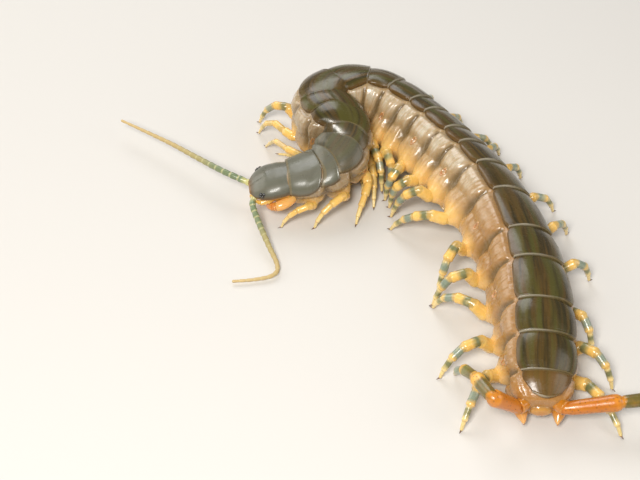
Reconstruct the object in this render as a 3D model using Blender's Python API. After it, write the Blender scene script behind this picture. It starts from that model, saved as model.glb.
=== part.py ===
# Giant centipede: a swollen, well-fed blue-ringed scolopendrid, life size, resting in an S.
# Sizes are in millimetres until a mesh is made. +X is to the viewer's right, +Y away, +Z up.
# "left" and "right" in names are the animal's own.

import math

import bmesh
import bpy
import numpy as np
from mathutils import Matrix, Vector

MM = 0.001
GAP = 0.3
SEGMENTS = 21

# The back: the length of the head plate and of each of the 21 tergites, long and short in turn
HEAD_LENGTH = 8.2
TERGITES = (6.2, 3.4, 4.6, 2.3, 4.0, 3.2, 6.2, 6.0, 4.8, 6.2, 4.8,
            6.8, 5.0, 6.6, 7.8, 10.4, 7.4, 9.4, 6.8, 6.4, 5.0)

# How the body lies: where the head meets the first tergite, and which way each edge faces the tail,
# in degrees from +X towards +Y
NECK = (-6.2, 10.2)
COURSE = ((0, 6), (1, 16), (2, 48), (3, 76), (4, 104), (5, 132), (6, 108), (7, 34), (8, -8), (9, -36),
          (10, -52), (12, -56), (14, -62), (16, -77), (18, -89), (20, -93), (21, -92))

# Body shape against the segment number, 0 at the head's rear edge and 21 at the tail
HALF_WIDTH = ((0, 4.6), (0.6, 5.3), (2, 5.6), (3, 6.0), (4, 6.6), (5, 7.4), (7, 7.3),
              (10, 6.9), (14, 7.1), (18, 6.9), (20, 6.1), (21, 4.4))
HALF_HEIGHT = ((0, 3.4), (1, 3.9), (2, 4.4), (3, 5.2), (5, 6.6), (8, 7.0), (14, 7.0),
               (18, 6.8), (20, 5.6), (21, 3.6))
PLATE_ANGLE = ((0, 80), (1, 74), (2, 66), (3, 60), (5, 55), (8, 46), (14, 44), (18, 50),
               (20, 56), (21, 50))
LEAN = ((0, 4), (2, 0), (4, -8), (6, -4), (7, 8), (8, 24), (10, 37), (13, 39), (15, 34),
        (16, 27), (18, 15), (20, 10), (21, 6))
LIFT = ((0, 3.5), (1, 3.4), (2, 3.4), (3.2, 4.4), (4, 4.4), (5, 3.6), (6, 2.8), (7, 2.0), (8, 1.4),
        (9, 0.7), (10, 0.0), (21, 0.0))
LEFT_PRESS = ((2.5, 0.0), (3.5, 0.8), (5.2, 0.9), (6.2, 0.2), (7.5, 0.3), (8.5, 0.9), (11.5, 0.8),
              (12.5, 0.0))
SAG = 0.35
SQUARENESS = 2.4
INNER_LIMIT = 0.8

# Relief of the armour
PLATE_FRONT = 0.25
PLATE_CROWN = 0.45
PLATE_REAR = 0.62
FOLD_DEPTH = 0.45
BELLY_PLATE = 0.3
BELLY_ANGLE = 146

TRUNK_LENGTHS = ((1, 2, 3, 4, 5), (6, 7, 8, 9), (10, 11, 12), (13, 14), (15, 16), (17, 18), (19, 20), (21,))

# Legs: articles from the trochanter out, as shares of the leg, with radii at their two ends
LEG_LENGTH = 14.5
LEG_SHARES = (0.27, 0.23, 0.20, 0.18, 0.12)
LEG_RADII = ((1.10, 1.22), (0.92, 1.02), (0.76, 0.84), (0.56, 0.62), (0.40, 0.34))
LEG_SIDES = 6
CLAW = 0.9
COXA_REACH = 1.0
COXA_RADIUS = 1.25
COXA_ROOT = 1.9
COXA_SIDES = 8
COXA_DROOP = 15
COXA_ANGLE = ((1, 134), (5, 134), (8, 124), (14, 125), (18, 128), (20, 124))
COXA_PLACE = 0.6

# Legs on the inner side of a bend spring straight from the skin: place along the segment, angle from the back
LEFT_TUCKED = {5: (0.3, 136), 6: (0.6, 160), 7: (0.65, 158), 8: (0.6, 152), 9: (0.6, 141)}
RIGHT_TUCKED = {2: (0.5, 138), 3: (0.35, 150), 4: (0.7, 158), 5: (0.35, 134), 6: (1.2, 124)}
TUCKED_SLIM = 0.86
TUCKED_REACH = 0.3

# Where each foot stands: how far out from its coxa, and how far towards the head (minus: the tail)
LEFT_FEET = {1: (1.5, 7.0), 2: (1.0, 8.4), 3: (2.6, 10.4), 14: (6.2, 4.4), 15: (8.6, 7.0), 16: (6.8, -4.9),
             17: (8.4, -0.7), 18: (9.0, 5.4), 19: (9.6, -4.8), 20: (6.6, -10.6)}
RIGHT_FEET = {7: (9.0, 1.0), 8: (9.0, 0.0), 9: (8.0, -2.0), 10: (8.5, 2.0), 11: (8.5, 0.5), 12: (9.2, -2.0),
              13: (9.6, 2.5), 14: (9.0, 1.0), 15: (9.6, -1.5), 16: (9.0, 3.0), 17: (8.5, 0.5),
              18: (4.6, -7.4), 19: (7.2, -7.4), 20: (7.8, -11.0)}

# Legs crowded between the two limbs of the bend, by the places they pass on the way to the foot
LEFT_PASSES = {
    4: ((10.9, 17.5, 3.4), (11.1, 13.0, 3.0), (11.0, 9.0, 0.3)),
    5: ((8.9, 20.4, 1.6), (8.9, 17.0, 1.2), (9.0, 12.0, 0.3)),
    6: ((4.3, 22.6, 0.9), (3.7, 18.6, 0.9), (3.6, 13.6, 0.3)),
    7: ((6.2, 25.4, 1.2), (6.4, 21.0, 1.1), (6.4, 15.6, 0.3)),
    8: ((8.5, 24.6, 1.1), (10.6, 21.4, 1.1), (11.1, 16.4, 0.3)),
    9: ((11.2, 24.2, 2.0), (12.9, 20.6, 1.2), (13.6, 17.0, 0.3)),
    10: ((11.5, 19.6, 6.0), (12.5, 16.4, 5.0), (12.8, 13.8, 0.3)),
    11: ((14.4, 16.6, 7.4), (14.6, 14.6, 4.8), (14.9, 13.4, 0.3)),
    12: ((15.6, 12.2, 7.6), (13.9, 11.4, 4.8), (13.4, 11.2, 0.3)),
    13: ((17.4, 8.8, 8.0), (15.0, 8.8, 5.6), (14.2, 9.0, 0.3))}
RIGHT_PASSES = {
    1: ((-4.4, 16.4, 2.4), (-7.4, 17.0, 2.0), (-10.4, 17.0, 0.3)),
    2: ((-1.4, 16.9, 1.6), (-4.5, 18.8, 1.2), (-9.6, 19.8, 0.3)),
    3: ((-0.8, 18.5, 1.2), (-4.2, 21.0, 1.1), (-8.8, 22.4, 0.3)),
    4: ((-1.0, 21.4, 1.2), (-4.0, 23.6, 1.1), (-8.8, 25.2, 0.3)),
    5: ((-6.0, 21.0, 4.8), (-9.4, 24.8, 4.4), (-11.6, 27.6, 0.3)),
    6: ((-9.0, 29.0, 5.4), (-11.8, 31.2, 3.6), (-13.2, 32.0, 0.3))}

# The last pair of legs, by its joints: steps to the animal's side, towards the tail, and upwards
TAIL_LEG_LEFT = ((5.0, 1.4, 4.6), (2.2, -5.4, -1.4), (1.6, -4.0, -2.8), (0.8, -2.0, -3.0), (0.2, -0.6, -1.6))
TAIL_LEG_RIGHT = ((9.3, -0.2, 1.5), (6.8, -0.7, 0.3), (1.2, 4.4, -2.7), (-1.2, 2.8, -1.8), (-0.8, 1.4, -0.9))
TAIL_LEG_RADII = ((1.25, 1.5), (1.15, 1.3), (0.95, 1.05), (0.7, 0.75), (0.5, 0.4))
TAIL_LEG_SIDES = 8

# Head: (share from its rear edge, value) for the shield's half width and height, and for the
# mouthparts and fang plate beneath: half width, depth
SHIELD_WIDTH = ((0.0, 4.4), (0.25, 4.75), (0.5, 4.75), (0.72, 4.3), (0.88, 3.25), (0.97, 2.1), (1.0, 1.4))
SHIELD_HEIGHT = ((0.0, 2.9), (0.3, 3.0), (0.6, 2.7), (0.8, 1.9), (0.93, 1.0), (1.0, 0.5))
MOUTH_WIDTH = ((0.0, 2.1), (0.42, 1.9), (0.55, 1.5), (0.85, 1.3), (1.0, 0.8))
MOUTH_DEPTH = ((0.0, 3.0), (0.42, 2.9), (0.55, 2.1), (0.85, 1.7), (1.0, 1.2))
SHIELD_EDGE = 0.15
HEAD_NOD = 0.9
EYES = ((0.80, 0.34), (0.73, 0.30), (0.77, 0.50), (0.70, 0.47))

# Fangs, in the head's frame: forward of the neck, to the side, above the axis, and radius
FANG = ((1.3, 3.6, -2.05, 1.2), (1.9, 4.25, -2.15, 1.3), (2.8, 4.5, -2.25, 1.25), (3.6, 4.3, -2.35, 1.08),
        (4.0, 4.05, -2.45, 0.9), (4.55, 3.35, -2.75, 0.72), (4.95, 2.55, -3.0, 0.44))
FANG_TIP = (5.05, 1.75, -3.25)
FANG_SIDES = 10

# Feelers, from the socket to the tip: across, away and up, on the floor's own axes
FEELER_ARTICLES = 20
FEELER_RADII = ((0.0, 0.68), (0.3, 0.60), (0.7, 0.42), (1.0, 0.26))
FEELER_SIDES = 6
FEELER_SOCKET = (0.85, 2.0, -0.75)
FEELER_RIGHT = ((-19.6, 13.8, 5.8), (-25.6, 18.6, 5.4), (-32.0, 24.0, 4.8), (-42.6, 31.6, 4.2))
FEELER_LEFT = ((-13.5, 5.4, 4.6), (-12.2, 1.6, 3.4), (-10.2, -3.2, 2.0), (-8.3, -8.0, 1.0),
               (-9.2, -10.3, 0.8), (-12.6, -11.3, 0.7), (-17.0, -11.8, 0.7))


def along(profile, at):
    """Reads a profile of (station, value) pairs at one or many stations."""
    stations = [pair[0] for pair in profile]
    values = [pair[1] for pair in profile]
    return np.interp(at, stations, values)


def unit(vector):
    return vector / np.linalg.norm(vector)


def smooth_profile(profile, at):
    """The same as along, but rounded over about one segment at the stations."""
    offsets = np.linspace(-0.7, 0.7, 9)
    weights = np.cos(offsets / 0.7 * math.pi / 2) + 0.05
    total = sum(w * along(profile, at + o) for w, o in zip(weights, offsets))
    return total / weights.sum()


class Body:
    """The bent axis of the body, and the frame and shape of its section at any place."""

    def __init__(self):
        self.edges = np.concatenate(([0.0], np.cumsum(TERGITES)))
        self.run = np.linspace(-HEAD_LENGTH - 1, self.edges[-1] + 8, 1700)
        segment = np.interp(self.run, self.edges, np.arange(SEGMENTS + 1))
        course = np.radians(smooth_profile(COURSE, segment))
        self.bend = np.gradient(course, self.run)
        step = self.run[1] - self.run[0]
        plan = np.column_stack((np.cumsum(np.cos(course)), np.cumsum(np.sin(course)))) * step
        plan += np.array(NECK) - plan[np.searchsorted(self.run, 0.0)]
        rise = []
        for number in segment:
            left, up = self.rolled(number)
            rise.append(along(LIFT, number) - self.outline_low(number, left, up))
        height = np.convolve(np.pad(rise, 60, mode="edge"), np.ones(121) / 121, mode="valid")
        self.middle = np.column_stack((plan, height - SAG))

    def rolled(self, number):
        """The section's left and up directions as (sideways, upwards) pairs, leant to the right."""
        lean = math.radians(smooth_profile(LEAN, number))
        return (math.cos(lean), math.sin(lean)), (-math.sin(lean), math.cos(lean))

    def outline_low(self, number, left, up):
        angles = np.linspace(0, 2 * math.pi, 73)
        radius = self.radius(number, angles)
        return np.min(radius * (np.sin(angles) * left[1] + np.cos(angles) * up[1]))

    def radius(self, number, angles):
        wide = smooth_profile(HALF_WIDTH, number)
        high = smooth_profile(HALF_HEIGHT, number)
        power = np.abs(np.sin(angles) / wide) ** SQUARENESS + np.abs(np.cos(angles) / high) ** SQUARENESS
        return power ** (-1 / SQUARENESS)

    def place(self, run):
        return np.array([np.interp(run, self.run, self.middle[:, k]) for k in range(3)])

    def frame(self, run):
        """Backwards, left and up directions, before the lean."""
        back = unit(self.place(run + 0.4) - self.place(run - 0.4))
        left = unit(np.cross((0.0, 0.0, 1.0), -back))
        return back, left, np.cross(-back, left)

    def number(self, run):
        return float(np.interp(run, self.edges, np.arange(SEGMENTS + 1)))

    def at(self, number):
        return float(np.interp(number, np.arange(SEGMENTS + 1), self.edges))

    def leant(self, run):
        back, left, up = self.frame(run)
        lean = math.radians(float(smooth_profile(LEAN, self.number(run))))
        return back, left * math.cos(lean) + up * math.sin(lean), up * math.cos(lean) - left * math.sin(lean)

    def squeezed(self, run, sideways):
        """Sideways distances, eased inside a bend to less than its radius, so the skin never crosses."""
        bend = float(np.interp(run, self.run, self.bend))
        limit = INNER_LIMIT / max(abs(bend), 1e-4)
        inner = sideways * bend < 0
        eased = sideways / (1 + (np.abs(sideways) / limit) ** 4) ** 0.25
        sideways = np.where(inner, eased, sideways)
        return sideways - np.maximum(sideways, 0) / 7.0 * along(LEFT_PRESS, self.number(run))

    def point(self, run, angle, raised=0.0):
        """A point of the skin at an angle from the middle of the back, positive to the left."""
        back, left, up = self.leant(run)
        radius = self.radius(self.number(run), np.array([angle]))[0] + raised
        side = self.squeezed(run, np.array([radius * math.sin(angle)]))[0]
        return self.place(run) + left * side + up * radius * math.cos(angle)


def section_angles(number):
    """Angles round one ring: across the back plate, its two edges, the flanks and the belly plate."""
    plate = math.radians(float(smooth_profile(PLATE_ANGLE, number)))
    belly = math.radians(BELLY_ANGLE)
    edge = math.radians(5)
    half = [plate * share for share in (0.0, 0.36, 0.7, 1.0)]
    half.append(plate + edge)
    half += [plate + edge + (belly - plate - edge) * share for share in (0.3, 0.6, 0.86, 1.0)]
    half.append(math.pi)
    return np.array(half + [-angle for angle in reversed(half[1:-1])])


def ring(body, run, share, moved=0.0):
    """One ring of the trunk. share runs from 0 at a segment's front fold to 1 at its rear fold."""
    number = body.number(run)
    angles = section_angles(number)
    plate = math.radians(float(smooth_profile(PLATE_ANGLE, number)))
    radius = body.radius(number, angles)
    on_plate = np.abs(angles) <= plate + 0.001
    on_belly = np.abs(angles) >= math.radians(BELLY_ANGLE) + 0.001
    on_flank = ~on_plate & ~on_belly
    relief = np.interp(share, (0.0, 0.14, 0.55, 0.93, 1.0),
                       (-0.15, PLATE_FRONT, PLATE_CROWN, PLATE_REAR, -0.15))
    swell = math.sin(math.pi * share)
    radius = radius + on_plate * relief + on_flank * FOLD_DEPTH * (swell - 0.8)
    radius = radius + on_belly * (BELLY_PLATE * (1 if 0.1 < share < 0.95 else 0) - 0.1)
    back, left, up = body.leant(run)
    side = body.squeezed(run, radius * np.sin(angles))
    points = body.place(run) + np.outer(side, left) + np.outer(radius * np.cos(angles), up) + back * moved
    points[:, 2] = np.maximum(points[:, 2], 0.0)
    return points


def look(name, colour, roughness):
    material = bpy.data.materials.get(name)
    if material is None:
        material = bpy.data.materials.new(name)
        material.use_nodes = True
        shader = material.node_tree.nodes["Principled BSDF"]
        shader.inputs["Base Color"].default_value = (*colour, 1.0)
        shader.inputs["Roughness"].default_value = roughness
        shader.inputs["Metallic"].default_value = 0.0
    return material


def armour():
    return look("olive_armour", (0.035, 0.045, 0.03), 0.2)


def leg_skin():
    return look("yellow_leg", (0.75, 0.45, 0.09), 0.3)


def feeler_skin():
    return look("green_feeler", (0.2, 0.3, 0.18), 0.45)


def amber():
    return look("orange_fang", (0.75, 0.25, 0.02), 0.2)


def add_object(name, points, faces, material):
    """A mesh object from points in millimetres, with every face turned outwards."""
    mesh = bpy.data.meshes.new(name)
    mesh.from_pydata((np.array(points) * MM).tolist(), [], faces)
    mesh.materials.append(material)
    work = bmesh.new()
    work.from_mesh(mesh)
    bmesh.ops.recalc_face_normals(work, faces=work.faces)
    work.to_mesh(mesh)
    work.free()
    item = bpy.data.objects.new(name, mesh)
    collection.objects.link(item)
    return item


def loft(name, rings, material, tip=None):
    """A closed skin over rings of equally many points, capped flat at both ends or drawn to a tip."""
    count = len(rings[0])
    points = [point for one in rings for point in one]
    faces = []
    for r in range(len(rings) - 1):
        for k in range(count):
            n = (k + 1) % count
            faces.append((r * count + k, r * count + n, (r + 1) * count + n, (r + 1) * count + k))
    ends = [(0, np.mean(rings[0], axis=0))]
    ends.append((len(rings) - 1, np.mean(rings[-1], axis=0) if tip is None else tip))
    for r, middle in ends:
        points.append(middle)
        centre = len(points) - 1
        faces += [(r * count + k, r * count + (k + 1) % count, centre) for k in range(count)]
    return add_object(name, points, faces, material)


def circle(middle, normal, radius, sides, flat=1.0, upward=(0.0, 0.0, 1.0)):
    """A ring of points about a middle. flat below 1 makes it lower than wide."""
    across = np.cross(normal, upward)
    if np.linalg.norm(across) < 0.05:
        across = np.cross(normal, (0.3, 1.0, 0.0))
    across = unit(across)
    high = np.cross(across, normal)
    turn = (np.arange(sides) + 0.5) * 2 * math.pi / sides
    return middle + radius * (np.outer(np.cos(turn), across) + flat * np.outer(np.sin(turn), high))


def tube(name, route, radii, material, sides, first=None, tip=None, flat=1.0):
    """A tube through the route's points, square to it, starting square to the direction first."""
    route = np.array(route, float)
    legs = [unit(v) for v in np.diff(route, axis=0)]
    rings = []
    for i, middle in enumerate(route):
        if i == 0:
            normal = first if first is not None else legs[0]
        elif i == len(route) - 1:
            normal = legs[-1]
        else:
            normal = unit(legs[i - 1] + legs[i])
        rings.append(circle(middle, normal, radii[i], sides, flat))
    rings = [np.column_stack((one[:, :2], np.maximum(one[:, 2], 0.0))) for one in rings]
    return loft(name, rings, material, tip)


def fuse(item, extras):
    """Joins the extras to the item in one union, and keeps only its largest closed surface."""
    hand = bpy.data.collections.new("joining")
    bpy.context.scene.collection.children.link(hand)
    for extra in extras:
        collection.objects.unlink(extra)
        hand.objects.link(extra)
    union = item.modifiers.new("union", "BOOLEAN")
    union.operation = "UNION"
    union.operand_type = "COLLECTION"
    union.collection = hand
    union.solver = "EXACT"
    bpy.context.view_layer.update()
    joined = bpy.data.meshes.new_from_object(item.evaluated_get(bpy.context.evaluated_depsgraph_get()))
    item.modifiers.clear()
    item.data = joined
    for extra in extras:
        bpy.data.objects.remove(extra)
    bpy.data.collections.remove(hand)
    keep_largest(item)
    return item


def keep_largest(item):
    work = bmesh.new()
    work.from_mesh(item.data)
    waiting = set(work.faces)
    shells = []
    while waiting:
        shell = set()
        edge_of = [waiting.pop()]
        while edge_of:
            face = edge_of.pop()
            shell.add(face)
            for edge in face.edges:
                for other in edge.link_faces:
                    if other in waiting:
                        waiting.discard(other)
                        edge_of.append(other)
        shells.append(shell)
    largest = max(shells, key=lambda shell: sum(face.calc_area() for face in shell))
    bmesh.ops.delete(work, geom=[f for f in work.faces if f not in largest], context="FACES")
    work.to_mesh(item.data)
    work.free()


def stump(root, end, way, root_radius, end_radius, sides, material):
    """A short cone, sunk at its root in what it grows from, with a flat face at its end."""
    rings = [circle(root, way, root_radius, sides), circle(end, way, end_radius, sides)]
    return loft("stump", rings, material)


def jointed(name, start, first, steps, radii, material, sides, claw):
    """A leg: straight articles between the joints, each a little thicker at its far end, and a claw."""
    joints = [start]
    for step in steps:
        joints.append(joints[-1] + step)
    rings = []
    for i, (near, far) in enumerate(zip(joints[:-1], joints[1:])):
        way = unit(far - near)
        before = first if i == 0 else unit(near - joints[i - 1])
        after = unit(joints[i + 2] - far) if i + 2 < len(joints) else way
        rings.append(circle(near + way * (0.0 if i == 0 else 0.22), unit(before + way), radii[i][0], sides))
        rings.append(circle(far - way * 0.22, unit(way + after), radii[i][1], sides))
    if first is not None:
        rings[0] = circle(start, first, radii[0][0], sides)
    rings = [np.column_stack((one[:, :2], np.maximum(one[:, 2], 0.0))) for one in rings]
    tip = joints[-1] + claw
    tip[2] = max(tip[2], 0.12)
    return loft(name, rings, material, tip)


def arch(start, first, foot, length, shares):
    """Joints of a leg of a given length, in an arch from its coxa to its foot, found by halving."""
    level = np.array([foot[0] - start[0], foot[1] - start[1], 0.0])
    low, high = 0.0, 14.0
    for _ in range(26):
        rise = (low + high) / 2
        one = start + first * 2.6 + np.array([0.0, 0.0, rise])
        two = foot - level * 0.16 + np.array([0.0, 0.0, rise * 0.9 + 1.2])
        t = np.linspace(0, 1, 60)[:, None]
        curve = start * (1 - t) ** 3 + 3 * one * t * (1 - t) ** 2 + 3 * two * t ** 2 * (1 - t) + foot * t ** 3
        run = np.concatenate(([0.0], np.cumsum(np.linalg.norm(np.diff(curve, axis=0), axis=1))))
        if run[-1] < length:
            low = rise
        else:
            high = rise
    stops = np.cumsum(shares) * run[-1]
    joints = [np.array([np.interp(stop, run, curve[:, k]) for k in range(3)]) for stop in stops]
    return [b - a for a, b in zip([start] + joints[:-1], joints)]


def tucked(number, side):
    return (LEFT_TUCKED if side > 0 else RIGHT_TUCKED).get(number)


def coxa_seat(body, number, side):
    """How far down the body a coxa sits and its angle from the middle of the back."""
    lean = max(float(smooth_profile(LEAN, number - 0.4)), 0.0)
    angle = along(COXA_ANGLE, number) + (0.1 * lean if side > 0 else -0.55 * lean)
    place, angle = tucked(number, side) or (COXA_PLACE, angle)
    return body.at(number - 1) + (body.at(number) - body.at(number - 1)) * place, math.radians(angle) * side


def coxa(body, number, side):
    """The middle of a coxa's end face, the way it points, and its root inside the body."""
    run, angle = coxa_seat(body, number, side)
    skin = body.point(run, angle)
    back, left, up = body.frame(run)
    if tucked(number, side):
        around = body.point(run, angle + 0.08) - body.point(run, angle - 0.08)
        along_body = body.point(run + 0.4, angle) - body.point(run - 0.4, angle)
        way = unit(np.cross(around, along_body))
        return skin + way * TUCKED_REACH, way, skin
    droop = math.radians(COXA_DROOP)
    way = unit(left * side * math.cos(droop) + back * 0.1 - up * math.sin(droop))
    return skin + way * COXA_REACH, way, skin - way * 1.6 + up * 0.9


def leg_size(number):
    """Legs grow a little towards the tail; the first pair is short."""
    return float(np.interp(number, (1, 2, 6, 14, 20), (0.72, 0.84, 0.94, 1.0, 1.06)))


def leg_thickness(number, side):
    return leg_size(number) * (TUCKED_SLIM if tucked(number, side) else 1.0)


def leg(body, number, side):
    word = "left" if side > 0 else "right"
    end, way, root = coxa(body, number, side)
    start = end + way * GAP
    size = leg_size(number)
    passes = (LEFT_PASSES if side > 0 else RIGHT_PASSES).get(number)
    if passes:
        steps = through(start, way, [np.array(place) for place in passes])
    else:
        reach, forward = (LEFT_FEET if side > 0 else RIGHT_FEET)[number]
        back, left, up = body.frame(coxa_seat(body, number, side)[0])
        out = unit(np.array([left[0], left[1], 0.0])) * side
        ahead = -unit(np.array([back[0], back[1], 0.0]))
        foot = start + out * reach + ahead * forward
        foot[2] = 0.3
        steps = arch(start, way, foot, LEG_LENGTH * size, LEG_SHARES)
    thick = leg_thickness(number, side)
    radii = [(a * thick, b * thick) for a, b in LEG_RADII]
    radii[0] = (COXA_RADIUS * thick * 0.9, radii[0][1])
    claw = unit(np.array([steps[-1][0], steps[-1][1], 0.0])) * CLAW
    return jointed(f"leg_{word}_{number:02d}", start, way, steps, radii, leg_skin(), LEG_SIDES, claw)


def through(start, way, places):
    """Joints of a leg that runs through given places."""
    line = curve([start, start + way * 0.8] + places, 200)
    run = np.concatenate(([0.0], np.cumsum(np.linalg.norm(np.diff(line, axis=0), axis=1))))
    stops = np.concatenate(([0.0], np.cumsum(LEG_SHARES))) * run[-1]
    joints = [np.array([np.interp(stop, run, line[:, k]) for k in range(3)]) for stop in stops]
    return [b - a for a, b in zip(joints[:-1], joints[1:])]


def tail_leg(name, end, way, steps, side):
    start = end + way * GAP
    steps = [np.array([-side * across, -back, high]) for across, back, high in steps]
    claw = unit(steps[-1]) * CLAW * 1.3
    return jointed(name, start, way, steps, TAIL_LEG_RADII, amber(), TAIL_LEG_SIDES, claw)


def in_head(body, forward, side, high):
    """A point of the head's own frame; the head nods forward a little."""
    back, left, up = body.frame(0.0)
    nod = HEAD_NOD * forward / HEAD_LENGTH
    return body.place(0.0) - back * forward + left * side + up * (high - nod)


def head_ring(body, share):
    """One ring of the head: the shield's arch above, and the narrower mouthparts under its edge."""
    wide, high = along(SHIELD_WIDTH, share), along(SHIELD_HEIGHT, share)
    mouth, deep = along(MOUTH_WIDTH, share), along(MOUTH_DEPTH, share)
    pairs = []
    for angle in np.radians(np.linspace(90, -90, 11)):
        pairs.append((wide * math.copysign(abs(math.sin(angle)) ** 0.9, math.sin(angle)),
                      SHIELD_EDGE + high * abs(math.cos(angle)) ** 0.9))
    under = SHIELD_EDGE - 0.35
    mouth = min(mouth, wide * 0.7)
    pairs += [(-wide * 0.9, under), (-mouth, under - 0.1), (-mouth * 0.85, -deep), (0.0, -deep - 0.1),
              (mouth * 0.85, -deep), (mouth, under - 0.1), (wide * 0.9, under)]
    forward = GAP / 2 + (HEAD_LENGTH - GAP / 2) * share
    return np.array([in_head(body, forward, side, high) for side, high in pairs])


def bead(middle, radius, material):
    """A small faceted ball."""
    up = np.array([0.0, 0.0, 1.0])
    levels = ((-0.8, 0.6), (0.0, 1.0), (0.8, 0.6))
    rings = [circle(middle + up * radius * high, up, radius * wide, 6) for high, wide in levels]
    return loft("bead", rings, material)


def head(body):
    item = loft("head", [head_ring(body, share) for share in (0, 0.15, 0.35, 0.55, 0.72, 0.84, 0.93, 1.0)],
                armour())
    extras = []
    for side in (1, -1):
        end, way = feeler_socket(body, side)
        extras.append(stump(end - way * 1.6, end, way, 0.95, 0.72, FEELER_SIDES, feeler_skin()))
        end, way = fang_socket(body, side)
        extras.append(stump(in_head(body, 1.7, side * 1.7, -1.7), end, way, 0.9, FANG[0][3], FANG_SIDES,
                            amber()))
        palp = in_head(body, HEAD_LENGTH * 0.7, side * 1.0, -1.7)
        tip = in_head(body, HEAD_LENGTH * 0.93, side * 1.15, -2.1)
        extras.append(stump(palp, tip, unit(tip - palp), 0.75, 0.4, 6, leg_skin()))
        for share, turn in EYES:
            angle = math.pi / 2 - turn
            wide, high = along(SHIELD_WIDTH, share), along(SHIELD_HEIGHT, share)
            middle = in_head(body, HEAD_LENGTH * share, side * wide * math.sin(angle) * 0.97,
                             SHIELD_EDGE + high * math.cos(angle) * 0.97)
            extras.append(bead(middle, 0.3, armour()))
    return fuse(item, extras)


def feeler_socket(body, side):
    """The middle of a feeler socket's face and the way it points."""
    share, across, high = FEELER_SOCKET
    end = in_head(body, HEAD_LENGTH * share + 0.7, side * across, high)
    back, left, up = body.frame(0.0)
    return end, unit(-back * 0.8 + left * side * 0.6)


def feeler(body, word, side, route):
    end, way = feeler_socket(body, side)
    start = end + way * GAP
    places = curve([start, start + way * 0.9] + [np.array(point) for point in route], 400)
    run = np.concatenate(([0.0], np.cumsum(np.linalg.norm(np.diff(places, axis=0), axis=1))))
    stops, radii = [0.0], [0.6]
    for article in range(FEELER_ARTICLES):
        near, far = article / FEELER_ARTICLES, (article + 1) / FEELER_ARTICLES
        thick = along(FEELER_RADII, near)
        stops += [near + (far - near) * 0.3, near + (far - near) * 0.9]
        radii += [thick, thick * 1.04]
        if article < FEELER_ARTICLES - 1:
            stops.append(far)
            radii.append(max(thick * 0.86, 0.25))
    middles = [[np.interp(stop * run[-1], run, places[:, k]) for k in range(3)] for stop in stops]
    return tube(f"feeler_{word}", middles, radii, feeler_skin(), FEELER_SIDES, first=way, tip=places[-1])


def curve(points, count):
    """A smooth line through the points: each stretch is a cubic, with the slopes of its neighbours."""
    points = [2 * points[0] - points[1]] + list(points) + [2 * points[-1] - points[-2]]
    line = []
    share = count // (len(points) - 3)
    for i in range(1, len(points) - 2):
        a, b, c, d = points[i - 1:i + 3]
        for t in np.linspace(0, 1, share, endpoint=i == len(points) - 3):
            line.append(0.5 * (2 * b + (c - a) * t + (2 * a - 5 * b + 4 * c - d) * t ** 2
                               + (3 * b - a - 3 * c + d) * t ** 3))
    return np.array(line)


def fang_socket(body, side):
    forward, across, high, radius = FANG[0]
    back, left, up = body.frame(0.0)
    way = unit(-back * 0.55 + left * side * 0.8 - up * 0.1)
    return in_head(body, forward, side * across, high) - way * GAP, way


def fang(body, word, side):
    """One of the two poison fangs under the head: a stout base and a hooked claw."""
    way = fang_socket(body, side)[1]
    route = [in_head(body, forward, side * across, high) for forward, across, high, radius in FANG]
    radii = [step[3] for step in FANG]
    forward, across, high = FANG_TIP
    return tube(f"fang_{word}", route, radii, amber(), FANG_SIDES, first=way,
                tip=in_head(body, forward, side * across, high))


def tail_place(body, run, side, high):
    """A point near the tail: along the body, to the left of its axis and above it."""
    back, left, up = body.frame(run)
    return body.place(run) + left * side + up * high


def tail_socket(body, side):
    """The middle of the last leg's socket and the way it points."""
    back, left, up = body.frame(body.at(SEGMENTS))
    way = unit(back * 0.35 + left * side * 0.9 + up * 0.25)
    return tail_place(body, body.at(SEGMENTS) + 0.4, side * 3.9, 0.9), way


def tail(body):
    """The last segment, with its two spined side plates, the small anal segment and two leg sockets."""
    start, end = body.at(SEGMENTS - 1), body.at(SEGMENTS)
    rings = [ring(body, start, 0.0, GAP / 2)]
    for share in (0.14, 0.45, 0.75, 0.93):
        rings.append(ring(body, start + (end - start) * share, share))
    last = ring(body, end, 0.0)
    middle = body.place(end)
    back, left, up = body.frame(end)
    rings += [middle + (last - middle) * 0.82 + back * 0.1,
              middle + (last - middle) * 0.5 + back * 0.9 - up * 0.5]
    item = loft(f"trunk_{SEGMENTS}", rings, armour())
    extras = []
    for side in (1, -1):
        socket, way = tail_socket(body, side)
        extras.append(stump(socket - way * 2.4, socket, way, 1.6, TAIL_LEG_RADII[0][0], TAIL_LEG_SIDES,
                            amber()))
        route = [tail_place(body, start + 2.4, side * 2.6, -1.4),
                 tail_place(body, end - 0.6, side * 3.3, -1.3),
                 tail_place(body, end + 0.8, side * 3.2, -1.5),
                 tail_place(body, end + 2.2, side * 3.0, -1.6)]
        extras.append(tube("plate", route, (1.0, 1.5, 1.1, 0.55), amber(), 8,
                           tip=tail_place(body, end + 3.2, side * 2.95, -1.7)))
    return fuse(item, extras)


def settle():
    """Moves every object so that the origin is under the middle of the whole, on the floor."""
    corners = []
    for item in collection.objects:
        places = np.array([vertex.co[:] for vertex in item.data.vertices])
        corners += [places.min(axis=0), places.max(axis=0)]
    low, high = np.min(corners, axis=0), np.max(corners, axis=0)
    step = Vector((-(low[0] + high[0]) / 2, -(low[1] + high[1]) / 2, -low[2]))
    for item in collection.objects:
        item.data.transform(Matrix.Translation(step))


collection = None


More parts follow.
